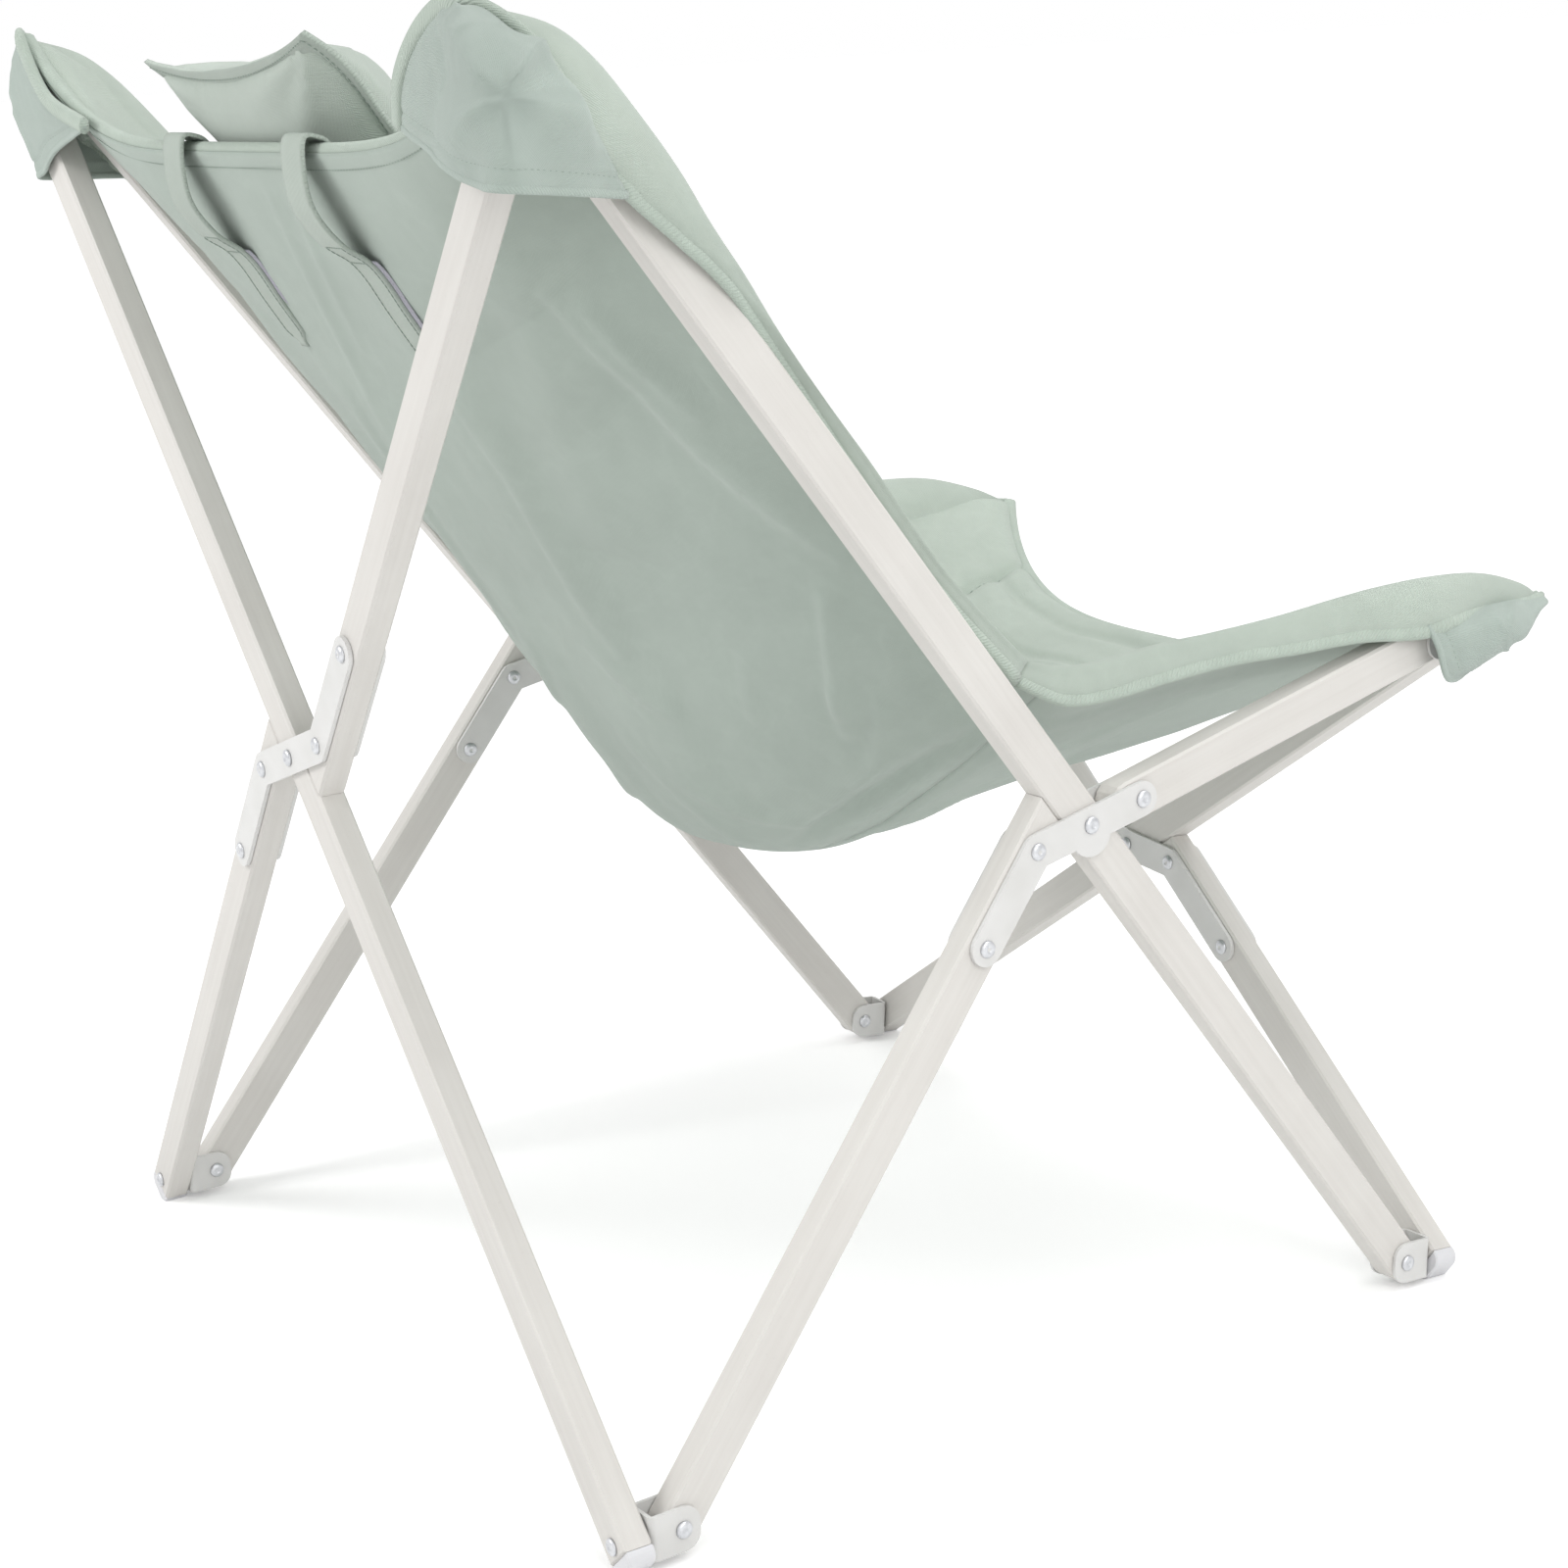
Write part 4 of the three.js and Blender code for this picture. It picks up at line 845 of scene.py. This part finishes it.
# Across the flange, from inside its seam to its edge
FLANGE_STEPS = (-14, 0, 2, 5, 7)
FLANGE_HALF = 1.8              # half the thickness of the flange
HELD_RIM = 0.86                # from here outwards the sewn rim stays put while the pillow fills
MOST_PUFF = 0.012              # the furthest that filling moves a point, in metres
FILL_FRAMES = 20


def pillow_place(points):
    """Pillow points (across, out to the front, up) as points of the chair."""
    return points @ PILLOW_TURN.T + PILLOW_MIDDLE


def pillow_grid(steps):
    """Grid of the pillow's sewn outline: its sides drawn in, its top edge curled back."""
    s, t = np.meshgrid(np.linspace(-1, 1, steps), np.linspace(-1, 1, steps))
    pull = np.where(t > 0, 0.15, 0.085)
    across = s * (PILLOW_HALF[0] * (1 - 0.085 * (1 - t * t)))
    up = t * (PILLOW_HALF[1] * (1 - pull * (1 - s * s)))
    curl = -16 * np.maximum(0, t) ** 4 + 3 * s * s
    return s, t, across, up, curl


def puff_up(piece):
    """Blows the pillow up as cloth, with its sewn rim held, and keeps every point near its start."""
    even = piece.modifiers.new("even", "REMESH")
    even.mode = "VOXEL"
    even.voxel_size = 0.005
    graph = bpy.context.evaluated_depsgraph_get()
    mesh = bpy.data.meshes.new_from_object(piece.evaluated_get(graph))
    piece.modifiers.clear()
    piece.data = mesh
    start = mesh_points(mesh)
    flat = pillow_flat(start)
    reach = np.maximum(np.abs(flat[:, 0]) / PILLOW_HALF[0], np.abs(flat[:, 2]) / PILLOW_HALF[1])
    held = piece.vertex_groups.new(name="rim")
    held.add([int(k) for k in np.nonzero(reach > HELD_RIM)[0]], 1.0, "REPLACE")
    cloth = piece.modifiers.new("cloth", "CLOTH")
    cloth.settings.quality = 6
    cloth.settings.mass = 0.25
    cloth.settings.use_pressure = True
    cloth.settings.uniform_pressure_force = 4.0
    cloth.settings.tension_stiffness = 12
    cloth.settings.compression_stiffness = 12
    cloth.settings.bending_stiffness = 0.4
    cloth.settings.vertex_group_mass = "rim"
    cloth.settings.effector_weights.gravity = 0
    for step in range(FILL_FRAMES):
        bpy.context.scene.frame_set(step + 1)
    graph = bpy.context.evaluated_depsgraph_get()
    moved = mesh_points(piece.evaluated_get(graph).data) - start
    length = np.linalg.norm(moved, axis=1, keepdims=True)
    moved = moved * np.minimum(1, MOST_PUFF / np.maximum(length, 1e-9))
    piece.modifiers.clear()
    bpy.context.scene.frame_set(1)
    mesh.vertices.foreach_set("co", (start + moved).ravel())
    finer = piece.modifiers.new("finer", "SUBSURF")
    finer.levels = 1
    finer.render_levels = 1
    graph = bpy.context.evaluated_depsgraph_get()
    smooth = bpy.data.meshes.new_from_object(piece.evaluated_get(graph))
    piece.modifiers.clear()
    piece.data = smooth
    lay_uv(smooth, pillow_flat(mesh_points(smooth))[:, ::2] / 1000)
    round_faces(smooth)


def pillow_flat(points):
    """Points of the chair, in metres, back in the pillow's own directions, in millimetres."""
    return (points * 1000 + (0, REAR_PINS, 0) - PILLOW_MIDDLE) @ PILLOW_TURN


def make_pillow():
    s, t, across, up, curl = pillow_grid(PILLOW_STEPS)
    crown = ((1 - s ** 4) * (1 - t ** 4)) ** 0.62
    corner = np.hypot(1 - np.abs(s), 1 - np.abs(t))
    angle = np.arctan2(1 - np.abs(t), 1 - np.abs(s))
    pucker = np.sin(angle * 9) * np.exp(-(corner / 0.5) ** 2) * 3.0 * np.clip(crown * 4, 0, 1)
    rim = np.clip(crown * 2.5, 0, 1)
    dimple = waves(s * 2.2, t * 2.2, 1.5) * 4.0 + waves(s * 7, t * 7, 6.0) * 1.2
    front = curl + PILLOW_FRONT * crown + (pucker + dimple) * rim
    back = curl - PILLOW_BACK * crown - (pucker + waves(s * 2.4, t * 2.1, 9.5) * 4.0) * rim
    top = pillow_place(np.stack([across, front, up], -1))
    bottom = pillow_place(np.stack([across, back, up], -1))
    pillow = cloth_mesh("pillow_body", top, bottom, PILLOW_CLOTH)
    fix_normals(pillow)
    puff_up(pillow)
    hang(pillow, "sling_back")
    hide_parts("pillow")
    sheet = np.stack([across, curl, up], -1)
    ring = np.concatenate([sheet[0, :-1], sheet[:-1, -1], sheet[-1, :0:-1], sheet[:0:-1, 0]])
    flange_strip(np.vstack([ring, ring[:1]]))


def flange_strip(ring):
    """The flat flange sewn round the pillow, a double layer of cloth with a stitched inner line."""
    outward = ring - ring.mean(0)
    outward[:, 1] = 0
    outward /= np.linalg.norm(outward, axis=1, keepdims=True)
    wave = waves(ring[:, 0] / 22, ring[:, 2] / 22, 3.3) * 1.4
    ripples = [np.outer(wave * max(step, 0) / 7.5, (0, 1, 0)) for step in FLANGE_STEPS]
    grid = np.stack([ring + outward * step + ripple for step, ripple in zip(FLANGE_STEPS, ripples)], 1)
    thick = np.array([0, FLANGE_HALF, 0])
    made = cloth_mesh("pillow_flange", pillow_place(grid + thick), pillow_place(grid - thick), PILLOW_CLOTH)
    fix_normals(made)
    hang(made, "sling_back")
    for way in (1, -1):
        facing = np.tile(PILLOW_TURN[:, 1] * way, (len(ring), 1))
        PILLOW_SEAMS.append((pillow_place(grid[:, 1] + thick * way), facing))


make_pillow()


# Straps: over the top edge, out in a loop and down the back of the sling

STRAP_PLACE = 100.0      # from the middle of the chair
STRAP_WIDTH = 32.0
STRAP_HALF = 1.2         # half the thickness of the strap
STRAP_CLEAR = 2.6        # from the canvas to the middle of the strap
STRAP_POINTS = 90        # along the strap
STRAP_REACH = 0.36       # rows of the sling that a strap can run down
HOOK_ROWS = slice(54, 88)
HOOK_WIDTH = 14.0        # hook tape: half width, and how far it is set to one side
HOOK_ASIDE = 7.0
TOP_HALF_WIDTH = 368.0   # half the width of the sling's top edge
OVER_EDGE = [(0, 9, -12), (0, 7.5, 2), (0, 0, 8), (0, -10, 7)]
DOWN_BACK = [(10, 11), (30, 16), (54, 12), (72, 3), (88, 0), (115, 0), (154, 0)]


def strap_line(x):
    """Path of a strap: over the top edge, then down the canvas, by its drop and how far it stands off."""
    line, normal = sling_line(straight(x / TOP_HALF_WIDTH, 40), np.linspace(0, STRAP_REACH, 40))
    back = line - normal * (CANVAS_OFF + CANVAS_THICK + STRAP_CLEAR)
    run = path_run(back)
    path = [line[0] + step for step in OVER_EDGE]
    for drop, stand in DOWN_BACK:
        path.append(path_at(drop, run, back) - normal[int(np.searchsorted(run, drop))] * stand)
    return smooth_path(path, STRAP_POINTS)


def make_strap(word, x):
    path = strap_line(x)
    run = np.linspace(0, 1, len(path))
    taper = np.clip((1 - run) / 0.06, 0.35, 1)
    columns = np.linspace(-1, 1, 9)
    grid = np.stack([path + np.outer(taper * (STRAP_WIDTH / 2) * c, (1, 0, 0)) for c in columns], 1)
    normal = grid_normals(grid)
    ply = normal * STRAP_HALF
    strap = cloth_mesh(f"pillow_strap_{word}_cloth", grid + ply, grid - ply, PILLOW_CLOTH)
    fix_normals(strap)
    hang(strap, "sling_back")
    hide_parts(f"pillow_strap_{word}")
    size = (STRAP_WIDTH / 1000, flat_size(grid)[1])
    area_of(grid)
    middle = grid[HOOK_ROWS, 4]
    tape = np.stack([middle + (c * HOOK_WIDTH + HOOK_ASIDE, 0, 0) for c in np.linspace(-0.9, 1.0, 5)], 1)
    shift = np.array([0, 1.9, 0.8])
    hooks = cloth_mesh(f"hook_tape_{word}", tape + shift, tape + shift * 0.45, HOOKS)
    fix_normals(hooks)
    hang(hooks, "sling_back")
    return grid, normal


STRAPS = {word: make_strap(word, x) for word, x in (("right", STRAP_PLACE), ("left", -STRAP_PLACE))}


# Repeated parts: stitches and rivet heads are instanced with Geometry Nodes and then made plain meshes

def stamp_tree():
    """Sets a stamp at every point of a mesh, turned by the point's own attribute."""
    tree = bpy.data.node_groups.new("stamps", "GeometryNodeTree")
    inputs = {}
    sockets = {"Points": "Geometry", "Stamp": "Object", "Size": "Float", "Finish": "Material"}
    for label, kind in sockets.items():
        socket = tree.interface.new_socket(label, in_out="INPUT", socket_type=f"NodeSocket{kind}")
        inputs[label] = socket.identifier
    tree.interface.new_socket("Geometry", in_out="OUTPUT", socket_type="NodeSocketGeometry")
    add = tree.nodes.new
    start, end = add("NodeGroupInput"), add("NodeGroupOutput")
    spots, turn = add("GeometryNodeInstanceOnPoints"), add("GeometryNodeInputNamedAttribute")
    kinds = ("ObjectInfo", "RealizeInstances", "SetMaterial")
    info, solid, paint = (add(f"GeometryNode{kind}") for kind in kinds)
    turn.data_type = "FLOAT_VECTOR"
    turn.inputs["Name"].default_value = "turn"
    link = tree.links.new
    link(start.outputs["Points"], spots.inputs["Points"])
    link(start.outputs["Stamp"], info.inputs["Object"])
    link(start.outputs["Size"], spots.inputs["Scale"])
    link(start.outputs["Finish"], paint.inputs["Material"])
    link(info.outputs["Geometry"], spots.inputs["Instance"])
    link(turn.outputs["Attribute"], spots.inputs["Rotation"])
    link(spots.outputs["Instances"], solid.inputs["Geometry"])
    link(solid.outputs["Geometry"], paint.inputs["Geometry"])
    link(paint.outputs["Geometry"], end.inputs[0])
    return tree, inputs


STAMP_TREE, STAMP_INPUTS = stamp_tree()


def dot_object(name, points, directions, ups, stamp, material, size=1.0):
    """One mesh with the stamp set at each point, its X along the direction and its Z along up."""
    source = bpy.data.meshes.new(f"{name}_points")
    source.from_pydata(np.asarray(points).tolist(), [], [])
    turns = []
    for ahead, up in zip(np.asarray(directions), np.asarray(ups)):
        x = Vector(ahead).normalized()
        z = Vector(up)
        z = (z - x * z.dot(x)).normalized()
        turns.append(tuple(Matrix((x, z.cross(x), z)).transposed().to_euler()))
    attribute = source.attributes.new("turn", "FLOAT_VECTOR", "POINT")
    attribute.data.foreach_set("vector", np.array(turns, np.float32).ravel())
    holder = bpy.data.objects.new(f"{name}_holder", source)
    bpy.context.collection.objects.link(holder)
    modifier = holder.modifiers.new("set", "NODES")
    modifier.node_group = STAMP_TREE
    for key, value in (("Stamp", stamp), ("Size", size), ("Finish", material)):
        modifier[STAMP_INPUTS[key]] = value
    graph = bpy.context.evaluated_depsgraph_get()
    mesh = bpy.data.meshes.new_from_object(holder.evaluated_get(graph))
    made = bpy.data.objects.new(name, mesh)
    bpy.context.collection.objects.link(made)
    bpy.data.objects.remove(holder)
    return made


def stamp_of(name, profile, sides, squeeze=(1, 1, 1)):
    """A small turned form about Z from (radius, height) pairs in millimetres, kept out of the scene."""
    mesh = bpy.data.meshes.new(name)
    built = bmesh.new()
    rings = []
    angles = [2 * math.pi * k / sides for k in range(sides)]
    for radius, height in profile:
        spots = np.array([(radius * math.cos(a), radius * math.sin(a), height) for a in angles]) * squeeze
        rings.append([built.verts.new(Vector(spot) / 1000) for spot in spots])
    for low, high in zip(rings, rings[1:]):
        for k in range(sides):
            built.faces.new((low[k], low[(k + 1) % sides], high[(k + 1) % sides], high[k]))
    built.faces.new(rings[-1])
    built.faces.new(rings[0][::-1])
    for face in built.faces:
        face.smooth = True
    built.to_mesh(mesh)
    built.free()
    return bpy.data.objects.new(name, mesh)


RIVET_PROFILE = [
    (5.6, -0.15), (5.6, 0.7), (5.2, 1.4), (4.3, 2.0), (3.0, 2.35), (1.7, 2.4), (1.3, 1.9), (0.8, 1.8),
]
STITCH_PROFILE = [(0.3, -0.3), (0.9, 0.0), (1.0, 0.3), (0.8, 0.55), (0.3, 0.7)]
RIVET = stamp_of("rivet_stamp", RIVET_PROFILE, 24)
STITCH = stamp_of("stitch_stamp", STITCH_PROFILE, 8, (1.7, 0.45, 0.8))
RIVET_CARRIERS = ("back_plate_rear", "front_plate_rear", "right_plate_outer", "left_plate_inner")
HEAD_REACH = 0.009       # points of one head lie within this distance, in metres
HEAD_SINK = 0.002        # from the end of a bolt or rivet back to the seat of its head


def head_spots(name, axis):
    """Where a bolt's or rivet's heads stand: their seats and the way they face, in the row frame."""
    points = node_points(name)
    rise = points @ axis
    spots = []
    for level, way in ((rise.max(), 1), (rise.min(), -1)):
        crowd = points[np.abs(rise - level) < 2e-4]
        while len(crowd):
            close = np.linalg.norm(crowd - crowd[0], axis=1) < HEAD_REACH
            spots.append((crowd[close].mean(0) - axis * way * HEAD_SINK, axis * way))
            crowd = crowd[~close]
    return spots


def rivet_heads():
    """Heads on both ends of every rivet, bolt and pin, one mesh for each body."""
    seats = {}
    for body, members in frame["record"]["behaviour"]["bodies"].items():
        for name in members:
            if name not in RIVET_CARRIERS and not name.endswith(("_bolt", "_pin")):
                continue
            word = name.split("_")[0].replace("rear", "back")
            if name.endswith("_pin"):
                word = "right" if "right" in name else "left"
            axis = np.array(joints[f"{word}_cross"]["axis"], float)
            seats.setdefault(body, []).extend(head_spots(name, axis))
    for body, spots in seats.items():
        seat, facing = [s[0] for s in spots], [s[1] for s in spots]
        ahead = [np.cross(way, (0.31, 0.42, 0.85)) for way in facing]
        heads = dot_object(f"{body}_rivet_heads", seat, ahead, facing, RIVET, ZINC)
        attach(heads, body)


rivet_heads()


def stitch_row(name, path, normals, body, lift, squashed=True, spacing=4.2):
    """A row of stitches along a path, on the side that the normals face."""
    path = np.asarray(path, float)
    run = path_run(path)
    at = np.arange(2.0, run[-1], spacing)
    up = path_at(at, run, normals)
    ahead = path_at(at, run, np.gradient(path, axis=0))
    row = dot_object(name, place(path_at(at, run, path) + up * lift), ahead, up, STITCH, THREAD_WITH_PAINTED_SHADE)
    if squashed:
        hang(row, body)
    else:
        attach(row, body)


def pad_line(half, column_at):
    """A line down the top of the pad, at the column given for each row."""
    column, row, top = PAD_TOPS[half]
    return np.array([path_at(column_at(row[i, 0]), column[i], top[i]) for i in range(len(top))])


line, normal = sling_line(SPREAD * 0.985, straight(0.017, len(SPREAD)))
stitch_row("top_hem_stitches", line, -normal, "sling_back", CANVAS_OFF + 1.6)
for name, (line, facing, body) in POCKET_HEMS.items():
    stitch_row(f"{name}_stitches", line, facing, body, 0.3, squashed=False)
for way, (line, facing) in zip(("front", "rear"), PILLOW_SEAMS):
    stitch_row(f"pillow_{way}_stitches", line, facing, "sling_back", 0.2, spacing=4.8)
SEAM_ROWS = {"back": (0.08, 1), "seat": (1, 1.92)}
SEAM_INSET = 8           # points left out at each end of a seam
for half, (first, last) in SEAM_ROWS.items():
    for side, word in ((1, "right"), (-1, "left")):
        line = pad_line(half, lambda row: side * float(seam_column(row)))
        rows = np.linspace(first, last, len(line))
        _, facing = sling_line(side * seam_column(rows), rows)
        sewn = slice(SEAM_INSET, -SEAM_INSET)
        name = f"{word}_{half}_seam_stitches"
        stitch_row(name, line[sewn], facing[sewn], f"sling_{half}", 0.3, spacing=5.0)
LENGTHWISE, CROSSWISE = slice(46, 87), slice(1, 8)
STRAP_ROWS = {
    "outer": (LENGTHWISE, 7), "inner": (LENGTHWISE, 1), "box": (46, CROSSWISE), "cross": (54, CROSSWISE),
}
for word, (grid, normal) in STRAPS.items():
    for label, at in STRAP_ROWS.items():
        name = f"strap_{word}_{label}_stitches"
        stitch_row(name, grid[at], -normal[at], "sling_back", 1.3, spacing=3.6)


# Stage: pale floor, soft light, camera at the photograph's angle

AMBIENT = 0.7
AIM = Vector((0, 0, 0.4))
FLOOR_HALF = 80
FLOOR_GLOW = 0.37        # added to the floor where the camera looks straight at it
# Lamps: place in metres, width in metres, power in watts
LAMPS = {
    "key": ((-0.9, -2.6, 2.1), 1.2, 40),
    "side": ((2.7, -0.2, 1.9), 1.8, 30),
    "top": ((0.5, 0.8, 2.8), 2.0, 30),
}
CAMERA_TURN, CAMERA_TILT, CAMERA_ROLL = (math.radians(angle) for angle in (58.777, 14.053, -2.868))
CAMERA_PLACE = (1831.4, -778.7, 887.3)
CAMERA_LENS = 69.03


def make_stage():
    mesh = bpy.data.meshes.new("floor")
    corners = [(x * FLOOR_HALF, y * FLOOR_HALF, 0) for x, y in ((-1, -1), (1, -1), (1, 1), (-1, 1))]
    mesh.from_pydata(corners, [], [(0, 1, 2, 3)])
    shader = Shader("floor_paper", Roughness=0.9, Specular_IOR_Level=0.1, Emission_Strength=1.0)
    shader.colour(shader.noise(3.0), (0.93, 0.93, 0.93), (0.95, 0.95, 0.95))
    distance = shader.node("ShaderNodeVectorMath", {0: shader.place()}, operation="LENGTH")
    far = shader.sock(distance, "Value").ramp(0.4, 5.0)
    shader.colour((far * 0.5 + 0.5) * shader.seen(), (0, 0, 0), (FLOOR_GLOW,) * 3, "Emission Color")
    add_object("floor", mesh, shader.material)
    world = bpy.data.worlds.new("studio")
    bpy.context.scene.world = world
    world.use_nodes = True
    backdrop = NodeMaker(world.node_tree)
    sky = world.node_tree.nodes["Background"]
    sky.inputs["Color"].default_value = (1, 1, 1, 1)
    backdrop.feed(sky.inputs["Strength"], backdrop.seen() * (1 - AMBIENT) + AMBIENT)
    for name, (where, size, power) in LAMPS.items():
        light = bpy.data.lights.new(name, "AREA")
        light.size = size
        light.energy = power
        lamp = bpy.data.objects.new(name, light)
        lamp.location = where
        lamp.rotation_euler = (Vector(where) - AIM).to_track_quat("Z", "Y").to_euler()
        bpy.context.collection.objects.link(lamp)


def make_camera():
    back = Vector((
        math.sin(CAMERA_TURN) * math.cos(CAMERA_TILT),
        -math.cos(CAMERA_TURN) * math.cos(CAMERA_TILT),
        math.sin(CAMERA_TILT),
    ))
    right = Vector((math.cos(CAMERA_TURN), math.sin(CAMERA_TURN), 0))
    up = back.cross(right)
    level = right * math.cos(CAMERA_ROLL) + up * math.sin(CAMERA_ROLL)
    above = up * math.cos(CAMERA_ROLL) - right * math.sin(CAMERA_ROLL)
    data = bpy.data.cameras.new("camera")
    data.lens = CAMERA_LENS
    data.sensor_width = 36
    camera = bpy.data.objects.new("camera", data)
    matrix = Matrix((level, above, back)).transposed().to_4x4()
    matrix.translation = Vector(place(CAMERA_PLACE))
    camera.matrix_world = matrix
    bpy.context.collection.objects.link(camera)
    bpy.context.scene.camera = camera


make_stage()
make_camera()
bpy.context.scene.view_settings.view_transform = "Standard"
